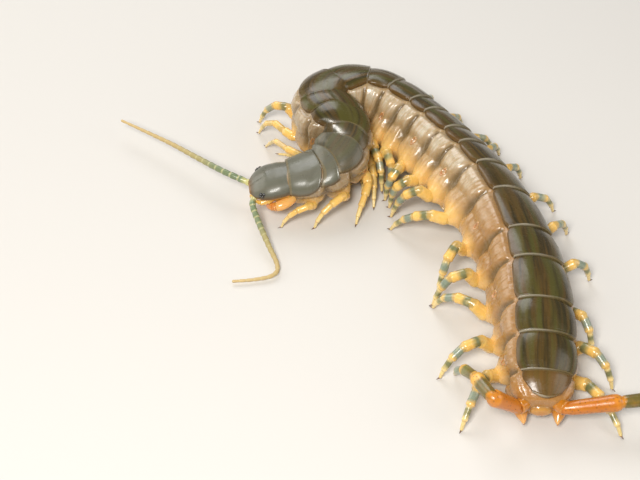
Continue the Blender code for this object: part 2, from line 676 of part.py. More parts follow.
def build():
    global collection
    for item in list(bpy.data.objects):
        bpy.data.objects.remove(item)
    collection = bpy.data.collections.new("centipede")
    bpy.context.scene.collection.children.link(collection)
    body = Body()
    head(body)
    for numbers in TRUNK_LENGTHS:
        if numbers[0] < SEGMENTS:
            trunk_length(body, numbers)
    tail(body)
    for number in range(1, SEGMENTS):
        leg(body, number, 1)
        leg(body, number, -1)
    for word, side, steps in (("left", 1, TAIL_LEG_LEFT), ("right", -1, TAIL_LEG_RIGHT)):
        end, way = tail_socket(body, side)
        tail_leg(f"leg_{word}_{SEGMENTS}", end, way, steps, side)
    feeler(body, "left", 1, FEELER_LEFT)
    feeler(body, "right", -1, FEELER_RIGHT)
    fang(body, "left", 1)
    fang(body, "right", -1)
    settle()


def trunk_length(body, numbers):
    """One length of the trunk: its plates, folds and the stumps of its coxae, as one body."""
    first, last = numbers[0], numbers[-1]
    name = f"trunk_{first}_to_{last}" if last > first else f"trunk_{first}"
    rings = [ring(body, body.at(first - 1), 0.0, GAP / 2)]
    for number in numbers:
        start, end = body.at(number - 1), body.at(number)
        for share in (0.14, 0.55, 0.93):
            rings.append(ring(body, start + (end - start) * share, share))
        if number != last:
            rings.append(ring(body, end, 1.0))
    rings.append(ring(body, body.at(last), 1.0, -GAP / 2))
    item = loft(name, rings, armour())
    stumps = []
    for number in numbers:
        for side in (1, -1):
            if not tucked(number, side):
                end, way, root = coxa(body, number, side)
                thick = leg_thickness(number, side)
                stumps.append(stump(root, end, way, COXA_ROOT * thick, COXA_RADIUS * thick, COXA_SIDES,
                                    leg_skin()))
    return fuse(item, stumps) if stumps else item


build()
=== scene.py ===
import math

import bpy
import numpy as np
from mathutils import Matrix


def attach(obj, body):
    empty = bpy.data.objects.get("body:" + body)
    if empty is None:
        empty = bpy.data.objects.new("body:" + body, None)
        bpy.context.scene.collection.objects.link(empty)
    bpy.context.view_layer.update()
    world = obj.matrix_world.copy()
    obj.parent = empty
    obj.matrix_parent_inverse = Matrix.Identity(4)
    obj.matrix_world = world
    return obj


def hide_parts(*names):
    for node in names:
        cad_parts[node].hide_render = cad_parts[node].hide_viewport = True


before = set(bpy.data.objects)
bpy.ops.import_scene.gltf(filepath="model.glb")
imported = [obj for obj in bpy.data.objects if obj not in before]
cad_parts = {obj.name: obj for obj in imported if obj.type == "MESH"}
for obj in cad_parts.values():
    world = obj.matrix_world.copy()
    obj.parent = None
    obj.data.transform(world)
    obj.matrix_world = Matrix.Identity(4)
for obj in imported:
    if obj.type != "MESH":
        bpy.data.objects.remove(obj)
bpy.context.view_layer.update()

# Giant centipede, a still museum model. Shapes are worked out in millimetres, on the pose's own axes
# (x to the viewer's right, y away, z up), and only makePiece turns them into metres in the frame.
# "left" and "right" are the animal's own.
millimetre = 0.001

print("frame loaded:", len(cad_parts), "nodes")

# ---- the body's course ----
# pairs are (segment number, value): 0 is the head's rear edge, 21 the tail
body = {
    # the middle of the whole pose, which is the frame's origin
    "frameOrigin": (9.1498, -2.2527, 0.0),
    "segments": 21,
    # the head's length, and the segments' lengths along the axis
    "headLength": 8.2,
    "plateLengths": (6.2, 3.4, 4.6, 2.3, 4.0, 3.2, 6.2, 6.0, 4.8, 6.2, 4.8,
                     6.8, 5.0, 6.6, 7.8, 10.4, 7.4, 9.4, 6.8, 6.4, 5.0),
    # where the head's rear edge lies
    "neck": (-6.2, 10.2),
    # the way that the body runs, in degrees from the x axis
    "course": ((0, 6), (1, 16), (2, 48), (3, 76), (4, 104), (5, 132), (6, 108), (7, 34), (8, -8), (9, -36),
               (10, -52), (12, -56), (14, -62), (16, -77), (18, -89), (20, -93), (21, -92)),
    "halfWidth": ((0, 4.6), (0.6, 5.3), (2, 5.6), (3, 6.0), (4, 6.6), (5, 7.4), (7, 7.3),
                  (10, 6.9), (14, 7.1), (18, 6.9), (20, 6.1), (21, 4.4)),
    "halfHeight": ((0, 3.4), (1, 3.9), (2, 4.4), (3, 5.2), (5, 6.6), (8, 7.0), (14, 7.0),
                   (18, 6.8), (20, 5.6), (21, 3.6)),
    # degrees from the middle of the back to a plate's side, and how far the body leans over to its left
    "plateAngle": ((0, 80), (1, 74), (2, 66), (3, 60), (5, 55), (8, 46), (14, 44), (18, 50),
                   (20, 56), (21, 50)),
    "lean": ((0, 4), (2, 0), (4, -8), (6, -4), (7, 8), (8, 24), (10, 37), (13, 39), (15, 34),
             (16, 27), (18, 15), (20, 10), (21, 6)),
    # the underside's height over the floor
    "lift": ((0, 3.5), (1, 3.4), (2, 3.4), (3.2, 4.4), (4, 4.4), (5, 3.6), (6, 2.8), (7, 2.0), (8, 1.4),
             (9, 0.7), (10, 0.0), (21, 0.0)),
    # millimetres by which the left flank is pressed in, at the half width pressWidth
    "leftPress": ((2.5, 0.0), (3.5, 0.8), (5.2, 0.9), (6.2, 0.2), (7.5, 0.3), (8.5, 0.9), (11.5, 0.8),
                  (12.5, 0.0)),
    "pressWidth": 7.0,
    # how far the soft belly sinks into the floor, and the power that squares the section
    "sag": 0.35,
    "squareness": 2.4,
    # the share of a bend's radius that the skin may fill on its inner side
    "innerLimit": 0.8,
    # degrees from the middle of the back to the belly
    "bellyAngle": 146,
    # how far the axis runs on past the head and the tail, and half the step that its directions are read over
    "runOn": (1, 8),
    "slopeStep": 0.4,
    # samples along the axis, and the spans over which its bend and its height are averaged
    "samples": 1700,
    "bendSpan": 41,
    "heightSpan": 121,
}
sideWords = {1: "left", -1: "right"}


def readProfile(profile, at):
    # straight lines between a profile's (station, value) pairs
    pairs = np.array(profile)
    return np.interp(at, pairs[:, 0], pairs[:, 1])


def roundedProfile(profile, at, spread=0.7):
    # the same, as an average over twice the spread with cosine weights, so that it has no corners
    offsets = np.linspace(-spread, spread, 9)
    weights = np.cos(offsets / spread * math.pi / 2) + 0.05
    return sum(w * readProfile(profile, at + o) for w, o in zip(weights, offsets)) / weights.sum()


def runningMean(values, span):
    # the mean over an odd number of samples, with the end values carried on
    return np.convolve(np.pad(values, span // 2, mode="edge"), np.ones(span) / span, mode="valid")


def bell(distance, width):
    # 1 at distance 0, falling off on both sides: exp(-(distance / width)^2)
    return np.exp(-(distance / width) ** 2)


def quarterRound(distance):
    # a rounded edge: a quarter circle from 0 at the edge to 1 at distance 1 and beyond
    return np.sqrt(1 - (1 - np.clip(distance, 0, 1)) ** 2)


def unit(vectors):
    return vectors / np.linalg.norm(vectors, axis=-1, keepdims=True)


def smoothLine(points, count):
    # Catmull-Rom curve: each stretch is a cubic whose end slopes follow the neighbouring points
    points = np.array(points, float)
    points = np.vstack((2 * points[0] - points[1], points, 2 * points[-1] - points[-2]))
    stretch = np.linspace(0, len(points) - 3, count)
    index = np.minimum(stretch.astype(int), len(points) - 4)
    t = (stretch - index)[:, None]
    a, b, c, d = (points[index + k] for k in range(4))
    return 0.5 * (2 * b + (c - a) * t + (2 * a - 5 * b + 4 * c - d) * t ** 2 + (3 * b - a - 3 * c + d) * t ** 3)


def lengthAlong(line):
    return np.concatenate(([0.0], np.cumsum(np.linalg.norm(np.diff(line, axis=0), axis=1))))


def readLine(line, at):
    # points of a line at lengths from its start
    run = lengthAlong(line)
    return np.stack([np.interp(at, run, line[:, k]) for k in range(3)], axis=-1)


class BodyLine:
    # the bent axis of the body, with the directions and the shape of its section at any place
    def __init__(self, sizes):
        self.sizes = sizes
        self.edges = np.concatenate(([0.0], np.cumsum(sizes["plateLengths"])))
        before, behind = sizes["runOn"]
        self.run = np.linspace(-sizes["headLength"] - before, self.edges[-1] + behind, sizes["samples"])
        number = self.numberAt(self.run)
        course = np.radians(roundedProfile(sizes["course"], number))
        self.bend = runningMean(np.gradient(course, self.run), sizes["bendSpan"])
        plan = np.cumsum(np.column_stack((np.cos(course), np.sin(course))), axis=0) * (self.run[1] - self.run[0])
        plan += np.array(sizes["neck"]) - plan[np.searchsorted(self.run, 0.0)]
        angle = np.linspace(0, 2 * math.pi, 73)
        lean = np.radians(roundedProfile(sizes["lean"], number))[:, None]
        lowest = (self.sectionRadius(number[:, None], angle) * np.cos(angle - lean)).min(axis=1)
        height = runningMean(readProfile(sizes["lift"], number) - lowest, sizes["heightSpan"])
        self.middle = np.column_stack((plan, height - sizes["sag"]))

    def numberAt(self, run):
        return np.interp(run, self.edges, np.arange(self.sizes["segments"] + 1))

    def runAt(self, number):
        return np.interp(number, np.arange(self.sizes["segments"] + 1), self.edges)

    def runWithin(self, number, share):
        # the run at a share of a segment's length
        return self.runAt(number - 1) + (self.runAt(number) - self.runAt(number - 1)) * share

    def sectionRadius(self, number, angle):
        # superellipse: |sin/width|^q + |cos/height|^q = radius^-q
        q = self.sizes["squareness"]
        wide = roundedProfile(self.sizes["halfWidth"], number)
        high = roundedProfile(self.sizes["halfHeight"], number)
        return (np.abs(np.sin(angle) / wide) ** q + np.abs(np.cos(angle) / high) ** q) ** (-1 / q)

    def plateAngleAt(self, number):
        return np.radians(roundedProfile(self.sizes["plateAngle"], number))

    def place(self, run):
        return np.stack([np.interp(run, self.run, self.middle[:, k]) for k in range(3)], axis=-1)

    def directions(self, run):
        # backwards, to the left and up, before the body leans over
        step = self.sizes["slopeStep"]
        back = unit(self.place(run + step) - self.place(run - step))
        left = unit(np.cross((0.0, 0.0, 1.0), -back))
        return back, left, np.cross(-back, left)

    def squeezed(self, run, sideways, share):
        # inside a bend, sideways distances are eased to less than this share of the bend's radius
        bend = np.interp(run, self.run, self.bend)
        limit = share / np.maximum(np.abs(bend), 1e-4)
        eased = sideways / (1 + (np.abs(sideways) / limit) ** 4) ** 0.25
        sideways = np.where(sideways * bend < 0, eased, sideways)
        press = readProfile(self.sizes["leftPress"], self.numberAt(run))
        return sideways - np.maximum(sideways, 0) / self.sizes["pressWidth"] * press

    def skin(self, run, angle, raised=0.0, share=body["innerLimit"]):
        # section point: middle + left' r sin(angle) + up' r cos(angle), with left' and up' leant over
        number = self.numberAt(run)
        _, left, up = self.directions(run)
        lean = np.radians(roundedProfile(self.sizes["lean"], number))[..., None]
        leantLeft = left * np.cos(lean) + up * np.sin(lean)
        leantUp = up * np.cos(lean) - left * np.sin(lean)
        radius = self.sectionRadius(number, angle) + raised
        side = self.squeezed(run, radius * np.sin(angle), share)
        return self.place(run) + leantLeft * side[..., None] + leantUp * (radius * np.cos(angle))[..., None]


line = BodyLine(body)
print("body line:", round(float(line.edges[-1]), 1), "mm of trunk")


# ---- meshes ----
def gridQuads(rows, columns, closed=False):
    # corner numbers of a grid's quads; a closed grid joins its last column to its first
    r, c = np.meshgrid(np.arange(rows - 1), np.arange(columns if closed else columns - 1), indexing="ij")
    n = (c + 1) % columns
    upper, lower = r * columns, (r + 1) * columns
    return np.stack((upper + c, upper + n, lower + n, lower + c), -1).reshape(-1, 4)


class Shape:
    # closed shells of one piece: points, quads, triangles and the numbers that materials read
    def __init__(self):
        self.points, self.quads, self.triangles, self.numbers = [], [], [], {}
        self.count = 0

    def addShell(self, points, quads, triangles, numbers):
        # turned outwards: the volume under the faces comes out positive
        a, b, c, d = (points[quads[:, k]] for k in range(4))
        volume = (np.cross(a, b) * c).sum() + (np.cross(a, c) * d).sum()
        if len(triangles):
            a, b, c = (points[triangles[:, k]] for k in range(3))
            volume += (np.cross(a, b) * c).sum()
        if volume < 0:
            quads, triangles = quads[:, ::-1], triangles[:, ::-1]
        self.points.append(points)
        self.quads.append(quads + self.count)
        self.triangles.append(triangles + self.count)
        for name in numbers:
            self.numbers.setdefault(name, []).append(np.broadcast_to(numbers[name], len(points)))
        self.count += len(points)

    def addTube(self, rings, numbers, tip=None, root=None):
        # rings of points joined in a row, each end closed by a fan round a middle point
        rows, columns = rings.shape[:2]
        poles = np.array([rings[0].mean(axis=0) if root is None else root,
                          rings[-1].mean(axis=0) if tip is None else tip])
        points = np.vstack((rings.reshape(-1, 3), poles))
        ring = np.arange(columns)
        n = (ring + 1) % columns
        first = np.column_stack((n, ring, np.full(columns, rows * columns)))
        lastRing = (rows - 1) * columns
        last = np.column_stack((lastRing + ring, lastRing + n, np.full(columns, rows * columns + 1)))
        spread = {}
        for name, value in numbers.items():
            value = np.broadcast_to(value, (rows, columns))
            spread[name] = np.concatenate((value.ravel(), [value[0].mean(), value[-1].mean()]))
        self.addShell(points, gridQuads(rows, columns, True), np.vstack((first, last)), spread)

    def addSheet(self, top, bottom, numbers):
        # two grids of points, one over the other, joined all round their borders
        rows, columns = top.shape[:2]
        size = rows * columns
        points = np.vstack((top.reshape(-1, 3), bottom.reshape(-1, 3)))
        upper = gridQuads(rows, columns)
        index = np.arange(size).reshape(rows, columns)
        border = np.concatenate((index[0, :-1], index[:-1, -1], index[-1, :0:-1], index[:0:-1, 0]))
        after = np.roll(border, -1)
        rim = np.column_stack((after, border, border + size, after + size))
        spread = {}
        for name, value in numbers.items():
            spread[name] = np.tile(np.broadcast_to(value, (rows, columns)).ravel(), 2)
        self.addShell(points, np.vstack((upper, upper[:, ::-1] + size, rim)), np.zeros((0, 3), int), spread)

    def facesAndStarts(self):
        quads, triangles = np.vstack(self.quads), np.vstack(self.triangles)
        corners = np.concatenate((quads.ravel(), triangles.ravel()))
        starts = np.concatenate((np.arange(len(quads)) * 4, len(quads) * 4 + np.arange(len(triangles)) * 3))
        return corners.astype(np.int32), starts.astype(np.int32)


def makePiece(name, shape, material, nodes=()):
    # a mesh object at the origin, its points in metres in the frame, riding on the one body
    points = (np.vstack(shape.points) - body["frameOrigin"]) * millimetre
    points[:, 2] = np.maximum(points[:, 2], 0.0)
    corners, starts = shape.facesAndStarts()
    mesh = bpy.data.meshes.new(name)
    mesh.vertices.add(len(points))
    mesh.vertices.foreach_set("co", points.astype(np.float32).ravel())
    mesh.loops.add(len(corners))
    mesh.loops.foreach_set("vertex_index", corners)
    mesh.polygons.add(len(starts))
    mesh.polygons.foreach_set("loop_start", starts)
    mesh.polygons.foreach_set("use_smooth", np.ones(len(starts), bool))
    mesh.update(calc_edges=True)
    for key, values in shape.numbers.items():
        attribute = mesh.attributes.new(key, "FLOAT", "POINT")
        attribute.data.foreach_set("value", np.concatenate(values).astype(np.float32))
    mesh.materials.append(material)
    piece = bpy.data.objects.new(name, mesh)
    bpy.context.scene.collection.objects.link(piece)
    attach(piece, "root")
    if nodes:
        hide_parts(*nodes)


def carriedRings(path, radius, sides, flat=1.0):
    # circles square to a path; the direction across is carried on from ring to ring, so the tube never twists
    path = np.asarray(path, float)
    ways = unit(np.gradient(path, axis=0))
    across = np.cross(ways[0], (0.0, 0.0, 1.0))
    if np.linalg.norm(across) < 0.1:  # the path starts upright
        across = np.cross(ways[0], (0.3, 1.0, 0.0))
    carried = []
    for way in ways:
        across = unit(across - way * np.dot(across, way))
        carried.append(across)
    across = np.array(carried)
    high = np.cross(across, ways)
    turn = (np.arange(sides) + 0.5) * 2 * math.pi / sides
    radius = np.asarray(radius, float)[:, None]
    return (path[:, None] + across[:, None] * (radius * np.cos(turn))[..., None]
            + high[:, None] * (radius * flat * np.sin(turn))[..., None])


# ---- materials ----
class Value:
    # a number in a node tree: + - * / and ** each add one Math node
    def __init__(self, finish, socket):
        self.finish, self.socket = finish, socket

    def math(self, operation, a, b):
        node = self.finish.node("ShaderNodeMath", {"operation": operation}, {0: a, 1: b})
        return Value(self.finish, node.outputs[0])

    def __add__(self, other): return self.math("ADD", self, other)
    def __radd__(self, other): return self.math("ADD", other, self)
    def __sub__(self, other): return self.math("SUBTRACT", self, other)
    def __rsub__(self, other): return self.math("SUBTRACT", other, self)
    def __mul__(self, other): return self.math("MULTIPLY", self, other)
    def __rmul__(self, other): return self.math("MULTIPLY", other, self)
    def __truediv__(self, other): return self.math("DIVIDE", self, other)
    def __rtruediv__(self, other): return self.math("DIVIDE", other, self)
    def __pow__(self, other): return self.math("POWER", self, other)
    def most(self, other): return self.math("MAXIMUM", self, other)

    def step(self, low, high):
        # 0 below low, 1 above high, smooth between them
        node = self.finish.node("ShaderNodeMapRange", {"interpolation_type": "SMOOTHSTEP"},
                                {0: self, 1: low, 2: high, 3: 0.0, 4: 1.0})
        return Value(self.finish, node.outputs[0])


class Finish:
    # one material: a Principled shader and the nodes that vary it
    def __init__(self, name, constants):
        self.material = bpy.data.materials.new(name)
        self.material.use_nodes = True
        self.tree = self.material.node_tree
        self.shader = self.tree.nodes["Principled BSDF"]
        for socket, value in constants.items():
            self.shader.inputs[socket].default_value = value
        self.places = self.node("ShaderNodeTexCoord", {}, {}).outputs["Object"]

    def node(self, kind, settings, values):
        node = self.tree.nodes.new(kind)
        for name, value in settings.items():
            setattr(node, name, value)
        for socket, value in values.items():
            if isinstance(value, Value):
                value = value.socket
            if isinstance(value, bpy.types.NodeSocket):
                self.tree.links.new(value, node.inputs[socket])
            else:
                node.inputs[socket].default_value = value
        return node

    def number(self, name):
        node = self.node("ShaderNodeAttribute", {"attribute_name": name}, {})
        return Value(self, node.outputs["Fac"])

    def vector(self, x, y, z):
        return self.node("ShaderNodeCombineXYZ", {}, {0: x, 1: y, 2: z}).outputs[0]

    def noise(self, scale, detail=3.0, roughness=0.55, places=None, distortion=0.0):
        # clouds from 0 to 1; the scale counts them to the metre
        node = self.node("ShaderNodeTexNoise", {}, {"Vector": places or self.places, "Scale": scale, "Detail": detail,
                                                    "Roughness": roughness, "Distortion": distortion})
        return Value(self, node.outputs["Fac"])

    def cells(self, scale, feature="F1"):
        node = self.node("ShaderNodeTexVoronoi", {"feature": feature}, {"Vector": self.places, "Scale": scale})
        return Value(self, node.outputs["Distance"])

    def mix(self, factor, low, high):
        # low where the factor is 0, high where it is 1
        low = (*low, 1.0) if isinstance(low, tuple) else low
        high = (*high, 1.0) if isinstance(high, tuple) else high
        return self.node("ShaderNodeMix", {"data_type": "RGBA", "clamp_factor": True},
                         {0: factor, 6: low, 7: high}).outputs[2]

    def ramp(self, factor, stops, tones):
        # stops are places from 0 to 1 with the name of a tone
        node = self.node("ShaderNodeValToRGB", {}, {0: factor})
        while len(node.color_ramp.elements) < len(stops):
            node.color_ramp.elements.new(0.5)
        for element, (position, tone) in zip(node.color_ramp.elements, stops):
            element.position = position
            element.color = (*tones[tone], 1.0)
        return node.outputs[0]

    def put(self, socket, value):
        value = value.socket if isinstance(value, Value) else value
        self.tree.links.new(value, self.shader.inputs[socket])

    def bump(self, height, strength, distance):
        # distance in metres: how high the full height stands
        node = self.node("ShaderNodeBump", {}, {"Height": height, "Strength": strength, "Distance": distance})
        self.put("Normal", node.outputs[0])


shellFinish = {
    "dark": (0.030, 0.022, 0.006),
    "brown": (0.088, 0.051, 0.011),
    "olive": (0.074, 0.068, 0.013),
    # the first plates' light grey: partly their own grey-green tint, partly painted sheen
    "front": (0.145, 0.147, 0.116),
    "margin": (0.105, 0.055, 0.014),
    "rim": (0.30, 0.135, 0.030),
    "last": (0.165, 0.078, 0.016),
    # the rear rim line: painted highlight towards the plates' left side, painted shade (tan) towards the right
    "rimHighlight": (0.48, 0.44, 0.34),
    "shadedLine": (0.24, 0.18, 0.085),
    "frontLine": (0.20, 0.150, 0.070),
    "roughness": (0.20, 0.36),
}


def oliveShell():
    # olive armour with lengthwise brown and green streaks, greyer on the first plates (partly their own grey-green
    # tint, partly painted sheen); the edges go by millimetres:
    # brown towards the sides, a thin line on the rear rim, painted highlight towards the plates' left side and painted
    # shade (tan) towards the right, and a tan one on the front edge
    f = Finish("oliveShell", {"Specular IOR Level": 0.45, "Coat Roughness": 0.12, "Coat Weight": 0.15})
    across, plate = f.number("across"), f.number("plate")
    toRear, toFront, toSide = f.number("toRear"), f.number("toFront"), f.number("toSide")
    streaks = f.noise(1.0, 4.0, 0.6, f.vector(across * 7.0, toRear * 0.07, plate * 3.7))
    other = f.noise(1.0, 3.0, 0.5, f.vector(across * 4.0, toRear * 0.05, plate * 2.1 + 40.0))
    cloud = f.noise(220.0, 4.0)
    colour = f.mix(streaks.step(0.36, 0.62), shellFinish["dark"], shellFinish["brown"])
    colour = f.mix(other.step(0.42, 0.64) * 0.85, colour, shellFinish["olive"])
    front = 1.0 - (plate / 6.0).step(0.15, 0.85)
    # partly painted sheen: the first plates are mixed towards a light grey
    colour = f.mix(front * (0.6 + cloud * 0.4), colour, shellFinish["front"])
    colour = f.mix(plate.step(20.4, 20.8) * (0.3 + streaks * 0.5), colour, shellFinish["last"])
    colour = f.mix((1.0 - (toSide + cloud * 0.8 - 0.4).step(0.2, 1.3)) * 0.8, colour, shellFinish["margin"])
    onHead = 1.0 - plate.step(0.5, 0.9)
    colour = f.mix((1.0 - toSide.step(0.12, 0.42)) * (0.1 + onHead * 0.5) * (0.5 + cloud), colour, shellFinish["rim"])
    colour = f.mix((1.0 - toFront.step(0.36, 0.46)) * 0.55, colour, shellFinish["frontLine"])
    # painted highlight and shade: the rear rim line is lighter and stronger towards the plates' left side (across 1)
    # and darker tan towards the right
    lit = across.step(-0.5, 0.6)
    rear = f.mix(lit, shellFinish["shadedLine"], shellFinish["rimHighlight"])
    colour = f.mix((1.0 - toRear.step(0.05, 0.15)) * (0.15 + lit * 0.25 + cloud * 0.5), colour, rear)
    f.put("Base Color", colour)
    low, high = shellFinish["roughness"]
    f.put("Roughness", f.noise(500.0, 4.0).step(0.3, 0.75) * (high - low) + low + front * 0.06)
    pits = f.cells(2600.0).step(0.0, 0.32)
    f.bump(pits * 0.35 + f.noise(900.0, 3.0) * 0.35 + streaks * 0.3, 0.5, 0.00009)
    return f.material


fleshFinish = {
    # pale grey tan: the patches under the plates, partly a lighter tone and partly painted silvery sheen; also the
    # pale streaks
    "pale": (0.52, 0.45, 0.33),
    "tan": (0.40, 0.265, 0.125),
    "frontTan": (0.25, 0.165, 0.080),
    "rearTan": (0.35, 0.180, 0.055),
    # painted shade in the folds and creases between the segments
    "fold": (0.135, 0.088, 0.033),
    "golden": (0.66, 0.40, 0.16),
    "yellow": (0.82, 0.51, 0.155),
    "belly": (0.58, 0.40, 0.17),
    "tail": (0.40, 0.19, 0.045),
    "roughness": (0.16, 0.40),
}


def stretchedFlesh():
    # stretched skin: pale patches under the plates (partly a lighter tone, partly painted silvery sheen), tan to
    # golden down the flank, painted shade in the folds between the segments, yellow at the leg bases, browner at both
    # ends of the body, all drawn out in streaks from back to belly
    f = Finish("stretchedFlesh", {"Specular IOR Level": 0.65, "Subsurface Weight": 0.15, "Subsurface Scale": 0.001,
                                  "Subsurface Radius": (1.0, 0.55, 0.25), "Coat Weight": 0.5,
                                  "Coat Roughness": 0.10})
    down, fold, paleSheenPatch, legBase = f.number("down"), f.number("fold"), f.number("paleSheenPatch"), f.number("legBase")
    number, run, turn = f.number("segment"), f.number("run"), f.number("turn")
    cloud = f.noise(260.0, 5.0, 0.6)
    fine = f.noise(1500.0, 4.0, 0.6)
    streaks = f.noise(1.0, 4.0, 0.65, f.vector(run * 1.7, turn * 1.3, down * 0.8), 0.6)
    flesh = fleshFinish
    colour = f.mix((down + cloud * 0.4 - 0.2).step(0.34, 0.78), flesh["tan"], flesh["golden"])
    front, rear = 1.0 - number.step(4.5, 7.5), number.step(13.5, 16.0)
    upper = 1.0 - down.step(0.45, 0.95)
    colour = f.mix(front * upper * 0.85, colour, flesh["frontTan"])
    colour = f.mix(rear * (0.35 + upper * 0.6), colour, flesh["rearTan"])
    # the pale patches under the plates: partly a lighter tone, partly painted silvery sheen
    patchy = paleSheenPatch * (0.2 + streaks.step(0.35, 0.65) * 0.75) * (1.0 - front * 0.8) * (1.0 - rear * 0.92)
    colour = f.mix(patchy, colour, flesh["pale"])
    # painted shade: darker in the folds and creases, less so low on the flank
    colour = f.mix(fold.step(0.10, 1.0) * (0.88 - 0.60 * down.step(0.35, 0.9)), colour, flesh["fold"])
    colour = f.mix(streaks.step(0.52, 0.72) * (0.40 - front * 0.22 - rear * 0.30), colour, flesh["pale"])
    colour = f.mix((down + cloud * 0.3 - 0.15).step(0.92, 1.05), colour, flesh["belly"])
    colour = f.mix((legBase + cloud * 0.5 - 0.25).step(0.22, 0.95), colour, flesh["yellow"])
    colour = f.mix(number.step(20.2, 20.7), colour, flesh["tail"])
    f.put("Base Color", colour)
    low, high = flesh["roughness"]
    f.put("Roughness", (cloud * 0.6 + fine * 0.4).step(0.3, 0.7) * (high - low) + low)
    grain = f.cells(1500.0, feature="SMOOTH_F1")
    f.bump(grain * 0.25 + fine * 0.25 + streaks * 0.5, 0.65, 0.00028)
    return f.material


legFinish = {
    "yellow": (0.83, 0.52, 0.130),
    "pale": (0.82, 0.64, 0.28),
    "green": (0.175, 0.180, 0.075),
    "blue": (0.225, 0.270, 0.200),
    "tip": (0.74, 0.57, 0.24),
    "joint": (0.50, 0.30, 0.075),
    # bands by place along the leg, and the plain colours of the legs that have hardly any
    "bands": ((0.0, "yellow"), (0.185, "yellow"), (0.225, "green"), (0.265, "green"), (0.325, "yellow"),
              (0.39, "yellow"), (0.445, "blue"), (0.525, "blue"), (0.585, "yellow"), (0.605, "pale"), (0.65, "green"),
              (0.695, "green"), (0.77, "pale"), (0.90, "tip"), (1.0, "tip")),
    "ground": ((0.0, "yellow"), (0.5, "yellow"), (0.75, "pale"), (1.0, "tip")),
}
articlesOfLeg = 5.0


def ringedLeg():
    # bands by article: yellow thigh, a short olive ring, then each article blue-green with a yellow far end and a
    # pale yellow last one; plain runs from 0, full bands, to 1, hardly any
    f = Finish("ringedLeg", {"Specular IOR Level": 0.6, "Subsurface Weight": 0.12, "Subsurface Scale": 0.0006,
                             "Subsurface Radius": (1.0, 0.6, 0.25), "Coat Weight": 0.4, "Coat Roughness": 0.1})
    article, plain = f.number("article"), f.number("plain")
    ragged = f.noise(700.0, 4.0, 0.65) * 0.44 - 0.22
    place = (article + ragged) / articlesOfLeg
    bands, ground = (f.ramp(place, legFinish[kind], legFinish) for kind in ("bands", "ground"))
    colour = f.mix((plain + f.noise(300.0, 3.0) * 0.4 - 0.2).step(0.1, 0.9), bands, ground)
    colour = f.mix(f.noise(500.0, 4.0).step(0.48, 0.75) * 0.45, colour, legFinish["pale"])
    colour = f.mix(f.number("joint") * 0.55, colour, legFinish["joint"])
    f.put("Base Color", colour)
    f.put("Roughness", f.noise(1200.0, 3.0) * 0.25 + 0.16)
    f.bump(f.cells(2800.0) * 0.4 + f.noise(1500.0, 3.0) * 0.6, 0.5, 0.00008)
    return f.material


lastLegFinish = {
    "orange": (0.53, 0.160, 0.008),
    "amber": (0.80, 0.30, 0.015),
    "olive": (0.140, 0.105, 0.018),
    "moss": (0.20, 0.20, 0.06),
    "yellow": (0.76, 0.42, 0.070),
    "slate": (0.20, 0.25, 0.16),
    "bluish": (0.34, 0.40, 0.30),
    "sand": (0.75, 0.6, 0.3),
    "greyish": (0.30, 0.36, 0.26),
    "foot": (0.65, 0.5, 0.25),
    "cloud": (0.72, 0.32, 0.03),
    "freckle": (0.24, 0.075, 0.014),
    "joint": (0.36, 0.12, 0.02),
    "bands": ((0.0, "orange"), (0.165, "orange"), (0.20, "amber"), (0.22, "olive"), (0.325, "olive"),
              (0.355, "yellow"), (0.41, "yellow"), (0.435, "olive"), (0.55, "moss"), (0.58, "yellow"),
              (0.61, "yellow"), (0.64, "slate"), (0.76, "bluish"), (0.80, "sand"), (0.86, "greyish"), (1.0, "foot")),
}


def lastLeg():
    # the last pair: orange thigh with darker freckles, then olive with yellow rings, blue-grey feet
    tones = lastLegFinish
    f = Finish("lastLeg", {"Specular IOR Level": 0.6, "Subsurface Weight": 0.1, "Subsurface Scale": 0.0008,
                           "Subsurface Radius": (1.0, 0.4, 0.15), "Coat Weight": 0.25, "Coat Roughness": 0.08})
    place = (f.number("article") + f.noise(600.0, 3.0) * 0.24 - 0.12) / articlesOfLeg
    cloud = f.noise(450.0, 4.0).step(0.5, 0.85)
    colour = f.mix(cloud * 0.3, f.ramp(place, tones["bands"], tones), tones["cloud"])
    freckles = 1.0 - f.cells(1300.0).step(0.14, 0.30)
    colour = f.mix(freckles * 0.6, colour, tones["freckle"])
    f.put("Base Color", f.mix(f.number("joint") * 0.5, colour, tones["joint"]))
    f.put("Roughness", f.noise(1000.0, 3.0) * 0.2 + 0.20)
    f.bump(f.cells(2400.0) * 0.5 + f.noise(1300.0, 3.0) * 0.5, 0.4, 0.00007)
    return f.material


feelerFinish = {
    "root": (0.62, 0.56, 0.22),
    "pale": (0.56, 0.54, 0.22),
    "green": (0.16, 0.215, 0.115),
    "greyGreen": (0.20, 0.235, 0.12),
    "khaki": (0.36, 0.31, 0.13),
    "tan": (0.50, 0.37, 0.155),
    "tip": (0.60, 0.43, 0.19),
    "ring": (0.58, 0.54, 0.27),
    "bands": ((0.0, "root"), (0.05, "pale"), (0.085, "green"), (0.26, "greyGreen"), (0.36, "khaki"), (0.6, "tan"),
              (1.0, "tip")),
    "articles": 20,
}


def ringedFeeler():
    # feelers: pale first articles, blue-green with pale rings, then tan towards the tip; short down on the tan part
    f = Finish("feeler", {"Specular IOR Level": 0.45, "Coat Weight": 0.15, "Coat Roughness": 0.2})
    article, within = f.number("article"), f.number("within")
    place = (article + f.noise(500.0, 3.0) * 1.2 - 0.6) / float(feelerFinish["articles"])
    colour = f.ramp(place, feelerFinish["bands"], feelerFinish)
    ring = (1.0 - within.step(0.0, 0.14)).most(within.step(0.80, 1.0))
    colour = f.mix(ring * (0.85 - article.step(5.0, 12.0) * 0.6), colour, feelerFinish["ring"])
    f.put("Base Color", colour)
    f.put("Roughness", article.step(3.0, 8.0) * 0.3 + f.noise(1500.0, 2.0) * 0.1 + 0.2)
    f.bump(f.noise(3500.0, 3.0), 0.5, 0.00005)
    return f.material


